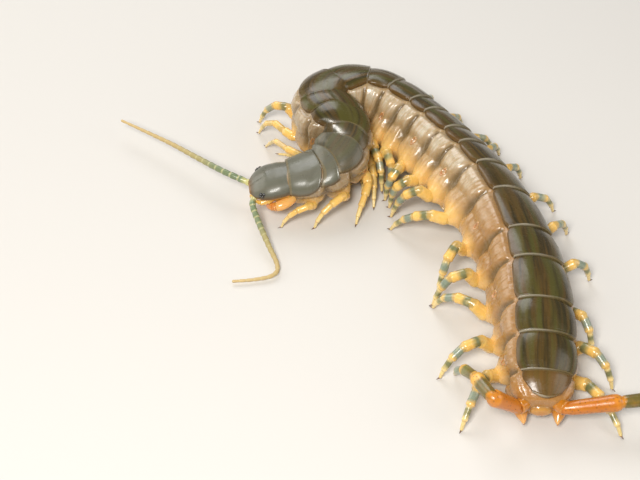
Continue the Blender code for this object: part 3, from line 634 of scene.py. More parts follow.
def amberFinish(name, pale, deep, tip):
    # amber shell: pale to deep by place, and a blackened tip
    f = Finish(name, {"Specular IOR Level": 0.65, "Subsurface Weight": 0.15, "Subsurface Scale": 0.001,
                      "Subsurface Radius": (1.0, 0.35, 0.1), "Coat Weight": 0.6, "Coat Roughness": 0.05})
    place = f.number("place")
    cloud = f.noise(450.0, 4.0)
    colour = f.mix((place + cloud * 0.3 - 0.15).step(0.2, 0.8), pale, deep)
    f.put("Base Color", f.mix(place.step(0.80, 0.97), colour, tip))
    f.put("Roughness", cloud * 0.15 + 0.1)
    f.bump(f.cells(2600.0) * 0.4 + f.noise(1200.0, 3.0) * 0.6, 0.3, 0.00005)
    return f.material


materials = {
    "shell": oliveShell(),
    "flesh": stretchedFlesh(),
    "leg": ringedLeg(),
    "lastLeg": lastLeg(),
    "feeler": ringedFeeler(),
    "fang": amberFinish("fangAmber", (0.80, 0.43, 0.12), (0.60, 0.17, 0.012), (0.060, 0.018, 0.006)),
    "mouth": amberFinish("mouthAmber", (0.78, 0.46, 0.10), (0.62, 0.25, 0.035), (0.55, 0.22, 0.05)),
    "sidePlate": amberFinish("sidePlateAmber", (0.54, 0.20, 0.018), (0.74, 0.40, 0.12), (0.30, 0.12, 0.03)),
    "endSegment": amberFinish("endSegmentAmber", (0.30, 0.20, 0.10), (0.52, 0.25, 0.045), (0.50, 0.20, 0.03)),
    "bellyPlate": amberFinish("bellyPlateAmber", (0.52, 0.37, 0.15), (0.45, 0.30, 0.12), (0.40, 0.26, 0.10)),
    "claw": amberFinish("clawBrown", (0.34, 0.17, 0.045), (0.09, 0.036, 0.014), (0.020, 0.008, 0.004)),
    "breathing": amberFinish("breathingSlit", (0.50, 0.27, 0.11), (0.42, 0.16, 0.05), (0.10, 0.035, 0.015)),
    "eye": amberFinish("eyeBlack", (0.012, 0.010, 0.008), (0.008, 0.007, 0.006), (0.006, 0.005, 0.005)),
}
print("materials:", len(materials))

# ---- legs: where they spring from ----
legs = {
    # a full-sized leg's length, its articles' shares of it and their radii at both ends; the sizes go by leg number
    "length": 14.5,
    "shares": (0.27, 0.23, 0.20, 0.18, 0.12),
    "shownRadii": ((1.32, 1.10), (0.96, 0.96), (0.78, 0.76), (0.58, 0.52), (0.40, 0.28)),
    "sizes": ((1, 0.72), (2, 0.84), (6, 0.94), (14, 1.0), (20, 1.06)),
    "sides": 14,
    "stations": (0.0, 0.03, 0.08, 0.16, 0.3, 0.5, 0.7, 0.84, 0.92, 0.97, 1.0),
    # how far the bands fade into plain yellow, by leg number, and at least on the tucked legs
    "plainness": ((1, 0.85), (3, 0.8), (5, 0.55), (7, 0.25), (9, 0.0), (20, 0.0)),
    "tuckedPlainness": 0.55,
    # coxae: how far they stand out, how many degrees they droop, their place along the segment and round it
    "coxaReach": 1.0,
    "coxaDroop": 15,
    "coxaPlace": 0.6,
    "coxaAngle": ((1, 134), (5, 134), (8, 124), (14, 125), (18, 128), (20, 124)),
    # degrees that a coxa moves down for each degree that the body leans to its left, and its turn backwards
    "coxaLean": {1: 0.1, -1: -0.55},
    "coxaBack": 0.1,
    # a leg starts this far from its coxa's end, and its shell this much deeper
    "gap": 0.3,
    "rootDepth": 0.7,
    # an arched leg's cubic: the first point stands out along the coxa, the second a share of the way back from the
    # foot and at a share of the first one's height, lifted; the limit is the highest rise that is tried
    "arch": {"out": 2.6, "back": 0.16, "share": 0.9, "lift": 1.2, "limit": 14.0},
    "footHeight": 0.3,
    # a crowded leg follows its coxa this far
    "straightStart": 0.8,
    "clawLength": 0.8,
    "clawRadius": 0.21,
    "clawDrop": 0.12,
    # the joints that carry a spur
    "spurJoints": (3, 4),
    "spurLength": 0.5,
    "spurRadius": 0.11,
    # legs on the inner side of a bend: place along the segment, angle from the middle of the back
    "tucked": {1: {5: (0.3, 136), 6: (0.6, 160), 7: (0.65, 158), 8: (0.6, 152), 9: (0.6, 141)},
               -1: {2: (0.5, 138), 3: (0.35, 150), 4: (0.7, 158), 5: (0.35, 134), 6: (1.2, 124)}},
    "tuckedSlim": 0.86,
    "tuckedReach": 0.3,
    # feet by side and number: out from the coxa, and towards the head
    "feet": {1: {1: (1.5, 7.0), 2: (1.0, 8.4), 3: (2.6, 10.4), 14: (6.2, 4.4), 15: (8.6, 7.0), 16: (6.8, -4.9),
                 17: (8.4, -0.7), 18: (9.0, 5.4), 19: (9.6, -4.8), 20: (6.6, -10.6)},
             -1: {7: (9.0, 1.0), 8: (9.0, 0.0), 9: (8.0, -2.0), 10: (8.5, 2.0), 11: (8.5, 0.5), 12: (9.2, -2.0),
                  13: (9.6, 2.5), 14: (9.0, 1.0), 15: (9.6, -1.5), 16: (9.0, 3.0), 17: (8.5, 0.5),
                  18: (4.6, -7.4), 19: (7.2, -7.4), 20: (7.8, -11.0)}},
    # crowded legs: the places they pass on the way to the foot
    "passes": {
        1: {4: ((10.9, 17.5, 3.4), (11.1, 13.0, 3.0), (11.0, 9.0, 0.3)),
            5: ((8.9, 20.4, 1.6), (8.9, 17.0, 1.2), (9.0, 12.0, 0.3)),
            6: ((4.3, 22.6, 0.9), (3.7, 18.6, 0.9), (3.6, 13.6, 0.3)),
            7: ((6.2, 25.4, 1.2), (6.4, 21.0, 1.1), (6.4, 15.6, 0.3)),
            8: ((8.5, 24.6, 1.1), (10.6, 21.4, 1.1), (11.1, 16.4, 0.3)),
            9: ((11.2, 24.2, 2.0), (12.9, 20.6, 1.2), (13.6, 17.0, 0.3)),
            10: ((11.5, 19.6, 6.0), (12.5, 16.4, 5.0), (12.8, 13.8, 0.3)),
            11: ((14.4, 16.6, 7.4), (14.6, 14.6, 4.8), (14.9, 13.4, 0.3)),
            12: ((15.6, 12.2, 7.6), (13.9, 11.4, 4.8), (13.4, 11.2, 0.3)),
            13: ((17.4, 8.8, 8.0), (15.0, 8.8, 5.6), (14.2, 9.0, 0.3))},
        -1: {1: ((-4.4, 16.4, 2.4), (-7.4, 17.0, 2.0), (-10.4, 17.0, 0.3)),
             2: ((-1.4, 16.9, 1.6), (-4.5, 18.8, 1.2), (-9.6, 19.8, 0.3)),
             3: ((-0.8, 18.5, 1.2), (-4.2, 21.0, 1.1), (-8.8, 22.4, 0.3)),
             4: ((-1.0, 21.4, 1.2), (-4.0, 23.6, 1.1), (-8.8, 25.2, 0.3)),
             5: ((-6.0, 21.0, 4.8), (-9.4, 24.8, 4.4), (-11.6, 27.6, 0.3)),
             6: ((-9.0, 29.0, 5.4), (-11.8, 31.2, 3.6), (-13.2, 32.0, 0.3))}},
}


def legSize(number):
    return float(readProfile(legs["sizes"], number))


def legThickness(number, side):
    return legSize(number) * (legs["tuckedSlim"] if number in legs["tucked"][side] else 1.0)


def coxaOf(number, side):
    # the middle of a coxa's end, the way it points, and the place on the bare skin under it
    lean = max(float(roundedProfile(body["lean"], number - 0.4)), 0.0)
    angle = readProfile(legs["coxaAngle"], number) + legs["coxaLean"][side] * lean
    place, angle = legs["tucked"][side].get(number, (legs["coxaPlace"], angle))
    run = line.runWithin(number, place)
    angle = math.radians(angle) * side
    point = line.skin(run, angle)
    back, left, up = line.directions(run)
    if number in legs["tucked"][side]:
        around = line.skin(run, angle + 0.08) - line.skin(run, angle - 0.08)
        lengthwise = line.skin(run + 0.4, angle) - line.skin(run - 0.4, angle)
        way = unit(np.cross(around, lengthwise))
        return point + way * legs["tuckedReach"], way, point, run
    droop = math.radians(legs["coxaDroop"])
    way = unit(left * side * math.cos(droop) + back * legs["coxaBack"] - up * math.sin(droop))
    return point + way * legs["coxaReach"], way, point, run


def archedCurve(start, first, foot, length):
    # a cubic from the coxa to the foot, whose rise is found by halving, so that it has the leg's length
    arch = legs["arch"]
    level = np.array([foot[0] - start[0], foot[1] - start[1], 0.0])
    t = np.linspace(0, 1, 60)[:, None]
    low, high = 0.0, arch["limit"]
    for _ in range(26):
        rise = (low + high) / 2
        one = start + first * arch["out"] + np.array([0.0, 0.0, rise])
        two = foot - level * arch["back"] + np.array([0.0, 0.0, rise * arch["share"] + arch["lift"]])
        curve = start * (1 - t) ** 3 + 3 * one * t * (1 - t) ** 2 + 3 * two * t ** 2 * (1 - t) + foot * t ** 3
        if lengthAlong(curve)[-1] < length:
            low = rise
        else:
            high = rise
    return curve


def legJoints(number, side):
    # a leg's six joints, from the coxa to the foot, at the articles' shares of its curve
    end, way, _, run = coxaOf(number, side)
    start = end + way * legs["gap"]
    passes = legs["passes"][side].get(number)
    if passes:
        curve = smoothLine([start, start + way * legs["straightStart"], *passes], 200)
    else:
        reach, forward = legs["feet"][side][number]
        back, left, _ = line.directions(run)
        out = unit(left * (1, 1, 0)) * side
        ahead = -unit(back * (1, 1, 0))
        foot = start + out * reach + ahead * forward
        foot[2] = legs["footHeight"]
        curve = archedCurve(start, way, foot, legs["length"] * legSize(number))
    stops = np.concatenate(([0.0], np.cumsum(legs["shares"]))) * lengthAlong(curve)[-1]
    return readLine(curve, stops), way


# ---- the skin, one surface from the neck to the tail ----
skin = {
    # millimetres between the rings, and steps round half a ring: under the plate, on the flank and on the belly
    "ringStep": 0.185,
    "plateSteps": 8,
    "flankSteps": 46,
    "bellySteps": 9,
    # how the skin stands to the plain section under the plates
    "underPlate": -0.30,
    # folds between the segments: depth, and width at the rims and at the waist of the flank
    "foldDepth": 1.05,
    "foldWidths": (0.42, 1.15),
    # the waist, a groove along the flank: place, width and depth; creases across it: place, depth and tilt
    "waist": (0.43, 0.055, 0.30),
    "waistSpread": 0.20,
    "creaseWidth": 0.26,
    "creases": ((0.34, 0.13, 0.05), (0.62, 0.11, -0.04), (0.80, 0.07, 0.03)),
    # swellings down the flank: place, spread and height
    "swellings": ((0.20, 0.17, 0.42), (0.72, 0.20, 0.55)),
    # uneven waves: steepness along and round the body, phase and height
    "waves": ((2.1, 3.0, 0.4, 0.30), (3.3, -7.0, 1.9, 0.24), (5.2, 11.0, 4.1, 0.18), (7.9, -16.0, 2.7, 0.13),
              (1.3, 19.0, 5.3, 0.15)),
    # how wide a coxa is drawn out, how far over the leg's root, and how far the yellow spreads round it
    "coxaSpread": 1.75,
    "coxaOver": 0.25,
    "yellowSpread": 3.0,
    # where the skin starts inside the head, and how narrow it is there
    "neckRun": -1.6,
    "neckShare": 0.6,
    # over its last millimetres the body narrows by a share, and ends in a dome
    "tailTaper": 2.4,
    "tailNarrow": 0.2,
    "tailDome": 0.25,
}


def skinAngles(number):
    # angles round each ring: close together on the flanks, wide apart under the plates
    plate = line.plateAngleAt(number)[:, None]
    belly = math.radians(body["bellyAngle"])
    under = plate * np.linspace(0, 1, skin["plateSteps"] + 1)[:-1]
    flank = plate + (belly - plate) * np.linspace(0, 1, skin["flankSteps"] + 1)
    lower = belly + (math.pi - belly) * np.linspace(0, 1, skin["bellySteps"] + 1)[1:] + 0 * plate
    half = np.hstack((under, flank, lower))
    return np.hstack((half, -half[:, -2:0:-1]))


def wrinkles(run, angle):
    # a sum of sines whose phases wander, about 1 high
    total = 0.0
    for along, around, phase, height in skin["waves"]:
        wander = 1.5 * np.sin(0.6 * run + 2.0 * angle + phase)
        total = total + height * np.sin(along * run + around * angle + phase + wander)
    return total


def skinRelief(run, angle):
    # how far the skin stands off the plain section: swellings - folds - waist - creases + wrinkles; and the
    # numbers that its colours follow
    number = line.numberAt(run)
    floor = np.minimum(np.floor(number), body["segments"] - 1)
    start, end = line.runAt(floor), line.runAt(floor + 1)
    share = np.clip((run - start) / (end - start), 0, 1)
    plate, belly = line.plateAngleAt(number), math.radians(body["bellyAngle"])
    down = np.clip((np.abs(angle) - plate) / (belly - plate), 0, 1)
    onFlank = np.clip((np.abs(angle) - plate) / 0.10, 0, 1)
    slant = 0.5 * np.sin(number * 2.3 + np.sign(angle))
    middle = np.sin(math.pi * share)
    narrow, wide = skin["foldWidths"]
    width = narrow + (wide - narrow) * bell(down - skin["waist"][0], skin["waistSpread"])
    width = width * np.clip((end - start) / 5.5, 0.5, 1.1)
    nearEdge = np.minimum(run - start, end - run) + 0.16 * wrinkles(run * 0.4, angle)
    fold = bell(nearEdge, width)
    place, narrowness, depth = skin["waist"]
    off = down - place - 0.03 * np.sin(7 * share + slant * 4)
    creased = depth * bell(off, narrowness) * middle
    fading = np.sin(math.pi * np.clip(down * 1.1, 0, 1)) ** 0.7
    for place, depth, tilt in skin["creases"]:
        off = (share - place - tilt * (down - 0.5) - 0.05 * slant) * (end - start)
        creased = creased + depth * bell(off, skin["creaseWidth"]) * fading
    swollen = sum(height * bell(down - place, spread) for place, spread, height in skin["swellings"])
    raised = (swollen * middle ** 0.5 - skin["foldDepth"] * fold * (0.40 + 0.60 * np.sin(math.pi * down) ** 0.7)
              - creased + 0.07 * wrinkles(run, angle) + 0.03 * wrinkles(run * 2.3 + 5, angle * 1.7))
    onBelly = np.abs(angle) > belly
    raised = np.where(onBelly, -0.15 - 0.2 * fold, raised)
    raised = raised * onFlank + skin["underPlate"] * (1 - onFlank)
    # the fold and crease mask that the flesh is painted darker along, as painted shade
    dark = np.clip(fold + creased * 0.8, 0, 1) * onFlank
    # where the flank is painted pale under the plates: partly a lighter tone, partly painted sheen
    paleSheenPatch = np.exp(-((down - 0.17) / 0.17) ** 4) * middle ** 0.5 * (1 - fold)
    return raised, {"down": down, "fold": dark, "paleSheenPatch": paleSheenPatch, "segment": number}


def bodySkin():
    runs = np.arange(skin["neckRun"], line.edges[-1] + 1e-6, skin["ringStep"])
    angles = skinAngles(line.numberAt(runs))
    run = runs[:, None] + 0 * angles
    raised, spread = skinRelief(run, angles)
    points = line.skin(run, angles, raised)
    # coxae: the skin is drawn out along the leg's own direction, by 1 / (1 + (distance / spread)^6)
    legBase = np.zeros_like(run)
    for side in (1, -1):
        for count in range(1, body["segments"]):
            _, way, seat, at = coxaOf(count, side)
            thick = legThickness(count, side)
            reach = legs["tuckedReach"] if count in legs["tucked"][side] else legs["coxaReach"]
            rows = np.abs(runs - at) < 6
            near = np.linalg.norm(points[rows] - (seat - way * 0.2), axis=-1)
            sideOnly = np.sign(angles[rows]) == side
            pull = sideOnly / (1 + (near / (skin["coxaSpread"] * thick)) ** 6)
            points[rows] += way * ((reach + skin["coxaOver"]) * pull)[..., None]
            legBase[rows] = np.maximum(legBase[rows], sideOnly * np.exp(-(near / skin["yellowSpread"]) ** 2 * 0.8))
    # the neck narrows inside the head; the tail tapers and closes in a small dome, whose rings shrink with the
    # square root of 1 - t^2
    neck = np.clip((runs - skin["neckRun"]) / -skin["neckRun"], 0, 1)[:, None, None]
    middles = line.place(runs)[:, None]
    points = middles + (points - middles) * (skin["neckShare"] + (1 - skin["neckShare"]) * np.sqrt(neck))
    taper = np.clip((runs - line.edges[-1]) / skin["tailTaper"] + 1, 0, 1)[:, None, None] ** 2
    points = middles + (points - middles) * (1 - skin["tailNarrow"] * taper)
    back = line.directions(line.edges[-1])[0]
    last, middle = points[-1], line.place(line.edges[-1])
    t = np.linspace(0.12, 0.98, 9)[:, None, None]
    dome = middle + (last - middle) * np.sqrt(1 - t ** 2) * 0.96 + back * t * skin["tailDome"]
    points = np.concatenate((points, dome))
    spread.update(legBase=legBase, run=run, turn=angles)
    for key, value in spread.items():
        spread[key] = np.concatenate((value, np.repeat(value[-1:], len(dome), axis=0)))
    shape = Shape()
    shape.addTube(points, spread)
    trunk = [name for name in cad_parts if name.startswith("trunk_")]
    makePiece("bodySkin", shape, materials["flesh"], trunk)


bodySkin()
print("skin made")

# ---- armour: 21 back plates and 21 belly plates ----
plates = {
    "rows": 34,
    "columns": 56,
    "thickness": 0.34,
    # how far each plate reaches over the next. Rear edges that run askew or are rounded: pairs of place
    # across, from the right at -1 to the left at 1, and millimetres towards the tail
    "overlap": 0.34,
    "rearEdges": {1: ((-1.0, -0.6), (-0.6, 0.0), (0.2, 0.0), (0.6, -0.5), (0.9, -1.5), (1.0, -2.1)),
                  2: ((-1.0, 0.3), (-0.4, 0.2), (0.0, -0.15), (0.5, -1.1), (1.0, -2.05)),
                  3: ((-1.0, -0.6), (-0.2, -0.55), (0.3, -0.7), (0.6, -1.05), (1.0, -1.8)),
                  4: ((-1.0, -0.1), (-0.4, -0.55), (0.0, -0.8), (0.6, -1.4), (1.0, -1.9)),
                  5: ((-1.0, 0.2), (-0.5, 0.05), (-0.2, -0.3), (0.0, -0.95), (0.3, -2.2), (0.6, -2.8), (1.0, -3.0)),
                  21: ((-1.0, -1.2), (-0.5, -0.45), (0.0, -0.2), (0.5, -0.45), (1.0, -1.2))},
    "rounding": 0.2,
    # the next plate starts under that edge, or leaves a strip of skin bare after the first ones
    "firstStart": -0.30,
    "frontGaps": {2: ((-0.5, -0.2), (0.3, 0.25), (0.7, 0.6)), 3: ((-1.0, -0.2), (0.5, 0.0), (1.0, 0.2))},
    "hidden": -0.24,
    # up to bentPlates the plates stand out wider inside the bend than the skin does
    "innerLimit": 1.0,
    "bentPlates": 5,
    "height": 0.62,
    # depth and length of the front's slope; height, place and width of the rear lip
    "frontDrop": (0.56, 1.5),
    "crown": 0.10,
    "lip": (0.06, 0.13, 0.08),
    "edgeDrop": (0.20, 0.06),
    "rimWidth": 0.55,
    "unevenness": 0.04,
    "wider": {1: 1.17, 2: 1.06},
    # the corners' rounding, front and rear: share of the half angle, and its length in millimetres
    "corners": ((0.16, 0.9), (0.10, 0.8)),
    "cornersOf": {1: ((0.05, 0.8), (0.10, 1.0)), 2: ((0.04, 0.6), (0.06, 0.5)), 21: ((0.12, 0.9), (0.34, 2.2))},
    # the valley before the lip, as shares of its height, place and width
    "valley": (0.5, 2.6, 1.2),
    # the underside: how far the rims bend down and the whole lies deeper, in thicknesses, its share of the relief,
    # and of the half angle
    "under": (0.55, 0.9, 0.4, 0.985),
    # millimetres round the body to a radian
    "sideScale": 6.8,
    # side rims and lengthwise sutures: height or depth, place and width
    "sideRim": (0.09, 0.30, 0.14),
    "suture": (0.04, 0.42, 0.022),
    # two short furrows on the first plate: depth, place and half length from the rear, and place and width across
    "dimple": (0.20, 1.5, 0.9, 0.52, 0.09),
}
bellyShields = {
    "rows": 16,
    "columns": 22,
    # from the segment's front edge, and short of its rear edge, shorter on the last one
    "start": 0.35,
    "end": 0.25,
    "lastEnd": 2.0,
    "widthShare": 0.92,
    "rounding": 0.12,
    "height": 0.20,
    "groove": (0.04, 0.4, 0.05),
    # millimetres over which the edges round off, and half a shield's width for that
    "edgeWidth": 0.5,
    "sideScale": 4.0,
    "bottom": -0.35,
}


def evenly(count, crowd=1.6):
    # places from 0 to 1, closer together at both ends
    t = np.linspace(-1, 1, count)
    return 0.5 + 0.5 * np.sign(t) * (1 - (1 - np.abs(t)) ** crowd)


def rearEdge(number, across):
    # the run of a plate's rear edge at places across it
    askew = plates["rearEdges"].get(number, ((0, 0),))
    return line.runAt(number) + plates["overlap"] + roundedProfile(askew, across, plates["rounding"])


def backPlates():
    # raised = height - front drop + crown + rear lip - edge drop - valley + side rims - sutures + unevenness
    shape = Shape()
    along, across = np.meshgrid(evenly(plates["rows"]), evenly(plates["columns"]) * 2 - 1, indexing="ij")
    (drop, dropLength), (lip, lipPlace, lipWidth) = plates["frontDrop"], plates["lip"]
    (edgeDrop, edgeWidth), (rimHeight, rimPlace, rimWidth) = plates["edgeDrop"], plates["sideRim"]
    (suture, suturePlace, sutureWidth), valley = plates["suture"], plates["valley"]
    bentDown, deeper, underRelief, underAngle = plates["under"]
    for number in range(1, body["segments"] + 1):
        start, end = plates["firstStart"], rearEdge(number, across)
        if number > 1:
            gaps = plates["frontGaps"].get(number, ((0, plates["hidden"]),))
            start = rearEdge(number - 1, across) + roundedProfile(gaps, across, plates["rounding"])
        run = start + (end - start) * along
        toFront, toRear = (end - start) * along, (end - start) * (1 - along)
        (frontCorner, frontLength), (rearCorner, rearLength) = plates["cornersOf"].get(number, plates["corners"])
        half = line.plateAngleAt(line.numberAt(run)) * plates["wider"].get(number, 1.0)
        half = half * (1 - frontCorner * np.exp(-(toFront / frontLength) ** 1.5)
                       - rearCorner * np.exp(-(toRear / rearLength) ** 1.5))
        angle = half * across
        toSide = (1 - np.abs(across)) * half * plates["sideScale"]
        rim = quarterRound(toSide / plates["rimWidth"])
        middle = np.sin(math.pi * along)
        uneven = np.sin(3.1 * number + 5 * along) * np.cos(2.2 * across + number)
        raised = (plates["height"] - drop * np.exp(-toFront / dropLength) + plates["crown"] * middle
                  + lip * bell(toRear - lipPlace, lipWidth) - edgeDrop * bell(toRear, edgeWidth)
                  - valley[0] * lip * bell(toRear - valley[1] * lipPlace, valley[2] * lipWidth)
                  + rimHeight * bell(toSide - rimPlace, rimWidth)
                  - suture * bell(np.abs(across) - suturePlace, sutureWidth) * middle
                  + plates["unevenness"] * uneven)
        if number == 1:
            depth, place, length, sideways, width = plates["dimple"]
            off = np.abs(across) - sideways - 0.10 * (toRear - place)
            raised = raised - depth * bell(toRear - place, length) * bell(off, width)
        # inside a tight bend the plate lies flatter, because its sideways reach is eased
        plainSide = line.sectionRadius(line.numberAt(run), angle) * np.sin(angle)
        share = plates["innerLimit"] if number <= plates["bentPlates"] else body["innerLimit"]
        ease = np.clip(np.abs(line.squeezed(run, plainSide, share)) / np.maximum(np.abs(plainSide), 1e-6), 0.3, 1)
        top = line.skin(run, angle, raised * rim * ease - plates["thickness"] * bentDown * (1 - rim), share)
        under = raised * underRelief * ease - plates["thickness"] * deeper
        bottom = line.skin(run, angle * underAngle, under, share)
        shape.addSheet(top, bottom, {"across": across, "toFront": toFront, "toRear": toRear, "toSide": toSide,
                                     "plate": float(number)})
    makePiece("backPlates", shape, materials["shell"])


def bellyPlates():
    # flat shields under the body, with two lengthwise grooves: height * quarter round at the edges - grooves
    shape = Shape()
    along, across = np.meshgrid(evenly(bellyShields["rows"]), evenly(bellyShields["columns"]) * 2 - 1, indexing="ij")
    half = (math.pi - math.radians(body["bellyAngle"])) * bellyShields["widthShare"]
    depth, place, width = bellyShields["groove"]
    for number in range(1, body["segments"] + 1):
        short = bellyShields["lastEnd" if number == body["segments"] else "end"]
        start, end = line.runAt(number - 1) + bellyShields["start"], line.runAt(number) - short
        run = start + (end - start) * along
        angle = math.pi - half * across * (1 - bellyShields["rounding"] * np.abs(2 * along - 1) ** 4)
        angle = np.where(angle > math.pi, angle - 2 * math.pi, angle)
        toSide = (1 - np.abs(across)) * bellyShields["sideScale"]
        edge = np.minimum(np.minimum(along, 1 - along) * (end - start), toSide)
        rim = quarterRound(edge / bellyShields["edgeWidth"])
        raised = bellyShields["height"] * rim - depth * bell(np.abs(across) - place, width)
        top = line.skin(run, angle, raised)
        bottom = line.skin(run, angle, bellyShields["bottom"] + 0 * raised)
        shape.addSheet(top, bottom, {"place": 0.3 + 0.2 * along})
    makePiece("bellyPlates", shape, materials["bellyPlate"])


backPlates()
bellyPlates()
print("plates made")


# ---- legs ----
def articleRadius(near, far, t):
    # an article: a little narrower at its root, swollen before its far end, drawn in at the joint
    plain = near + (far - near) * t
    return plain * (1 - 0.15 * bell(t, 0.07) + 0.06 * bell(t - 0.86, 0.10) - 0.18 * bell(1 - t, 0.03))


def jointedShell(shape, joints, first, radii, sides, numbers=()):
    # rings along the straight articles between the joints; article counts them, with the place in each
    t = np.array(legs["stations"])
    path, radius, article, joint = [joints[0] - first * legs["rootDepth"]], [radii[0][0] * 0.9], [0.0], [0.0]
    for i in range(len(joints) - 1):
        stations = t if i == 0 else t[1:]
        path.extend(joints[i] + (joints[i + 1] - joints[i]) * stations[:, None])
        radius.extend(articleRadius(*radii[i], stations))
        article.extend(i + stations)
        joint.extend(np.maximum(bell(stations, 0.05) * (i > 0), bell(1 - stations, 0.05)))
    rings = carriedRings(path, np.array(radius), sides)
    rings[..., 2] = np.maximum(rings[..., 2], 0.0)
    tip = joints[-1] + unit(joints[-1] - joints[-2]) * radii[-1][1] * 0.5
    shape.addTube(rings, {"article": np.array(article)[:, None], "joint": np.array(joint)[:, None], **dict(numbers)},
                  tip=tip)


def clawShell(shape, joint, way, length, radius):
    # a curved cone that leaves the leg's end and bends down
    t = np.linspace(0, 1, 8)
    drop = np.array([0.0, 0.0, -legs["clawDrop"]]) * length
    path = joint + way * (t[:, None] * (length + 0.2) - 0.2) + drop * (t[:, None] ** 2)
    path[:, 2] = np.maximum(path[:, 2], 0.06)
    rings = carriedRings(path, radius * (1 - t) ** 0.8 + 0.02, 8)
    shape.addTube(rings, {"place": 0.2 + 0.8 * t[:, None]})


def spurShell(shape, joint, way, out, length, radius):
    # a short straight spine beside a joint
    t = np.linspace(0, 1, 4)
    path = joint + out * radius * 0.75 + (unit(way + out * 0.8) * length) * (t[:, None] - 0.15)
    path[:, 2] = np.maximum(path[:, 2], 0.08)
    shape.addTube(carriedRings(path, legs["spurRadius"] * (1 - t) + 0.015, 6), {"place": 0.4 + 0.6 * t[:, None]})


def walkingLegs(claws):
    for side in (1, -1):
        for number in range(1, body["segments"]):
            joints, first = legJoints(number, side)
            thick = legThickness(number, side)
            radii = [(a * thick, b * thick) for a, b in legs["shownRadii"]]
            plain = float(readProfile(legs["plainness"], number))
            if number in legs["tucked"][side]:
                plain = max(plain, legs["tuckedPlainness"])
            shape = Shape()
            jointedShell(shape, joints, first, radii, legs["sides"], {"plain": plain})
            name = f"leg_{sideWords[side]}_{number:02d}"
            makePiece(name.replace("leg_", "walkingLeg_"), shape, materials["leg"], [name])
            way = unit(np.array([*(joints[-1] - joints[-2])[:2], 0.0]))
            clawShell(claws, joints[-1], way, legs["clawLength"], legs["clawRadius"] * thick)
            for k in legs["spurJoints"]:
                along = unit(joints[k] - joints[k - 1])
                out = unit(np.cross(along, np.cross(along, (0.0, 0.0, 1.0))))
                spurShell(claws, joints[k], along, out, legs["spurLength"], radii[k - 1][1])


lastLegs = {
    # by its joints: steps to the animal's side, towards the tail, and upwards
    "steps": {1: ((5.0, 1.4, 4.6), (2.2, -5.4, -1.4), (1.6, -4.0, -2.8), (0.8, -2.0, -3.0), (0.2, -0.6, -1.6)),
              -1: ((9.3, -0.2, 1.5), (6.8, -0.7, 0.3), (1.2, 4.4, -2.7), (-1.2, 2.8, -1.8), (-0.8, 1.4, -0.9))},
    "radii": ((1.25, 1.5), (1.15, 1.3), (0.95, 1.05), (0.7, 0.75), (0.5, 0.4)),
    "sides": 24,
    # the socket behind the body's end, and the way it points: towards the tail, sideways and high
    "socket": (0.4, 3.9, 0.9),
    "way": (0.35, 0.9, 0.25),
    "clawLength": 1.04,
    "clawRadius": 0.36,
    # short spines in a spiral round the thigh, this turn apart: where the row starts and how long it is, as
    # shares of the thigh, and how far from its axis the spines stand
    "spines": 16,
    "spineTurn": 2.4,
    "spineRow": (0.2, 0.75),
    "spineSeat": (0.42, 1.05),
    "spineLength": 0.36,
}


def tailSocket(side):
    back, left, up = line.directions(line.edges[-1])
    backwards, sideways, upwards = lastLegs["way"]
    way = unit(back * backwards + left * side * sideways + up * upwards)
    behind, across, high = lastLegs["socket"]
    _, left, up = line.directions(line.edges[-1] + behind)
    return line.place(line.edges[-1] + behind) + left * side * across + up * high, way


def lastPair(claws):
    for side in (1, -1):
        end, way = tailSocket(side)
        joints = [end + way * legs["gap"]]
        for across, backwards, high in lastLegs["steps"][side]:
            joints.append(joints[-1] + np.array([-side * across, -backwards, high]))
        joints = np.array(joints)
        shape = Shape()
        jointedShell(shape, joints, way, lastLegs["radii"], lastLegs["sides"])
        name = f"leg_{sideWords[side]}_{body['segments']}"
        makePiece(name.replace("leg_", "lastLeg_"), shape, materials["lastLeg"], [name])
        clawShell(claws, joints[-1], unit(joints[-1] - joints[-2]), lastLegs["clawLength"], lastLegs["clawRadius"])
        along = unit(joints[1] - joints[0])
        across = unit(np.cross(along, (0.0, 0.0, 1.0)))
        high = np.cross(across, along)
        (rowStart, rowLength), (seat, radius) = lastLegs["spineRow"], lastLegs["spineSeat"]
        for k in range(lastLegs["spines"]):
            turn = 0.5 + lastLegs["spineTurn"] * k
            out = across * math.cos(turn) + high * math.sin(turn)
            at = joints[0] + (joints[1] - joints[0]) * (rowStart + rowLength * k / lastLegs["spines"])
            spurShell(claws, at + out * seat, along * 0.4, out, lastLegs["spineLength"], radius)


legClaws = Shape()
walkingLegs(legClaws)
lastPair(legClaws)
makePiece("claws", legClaws, materials["claw"])
print("legs made")

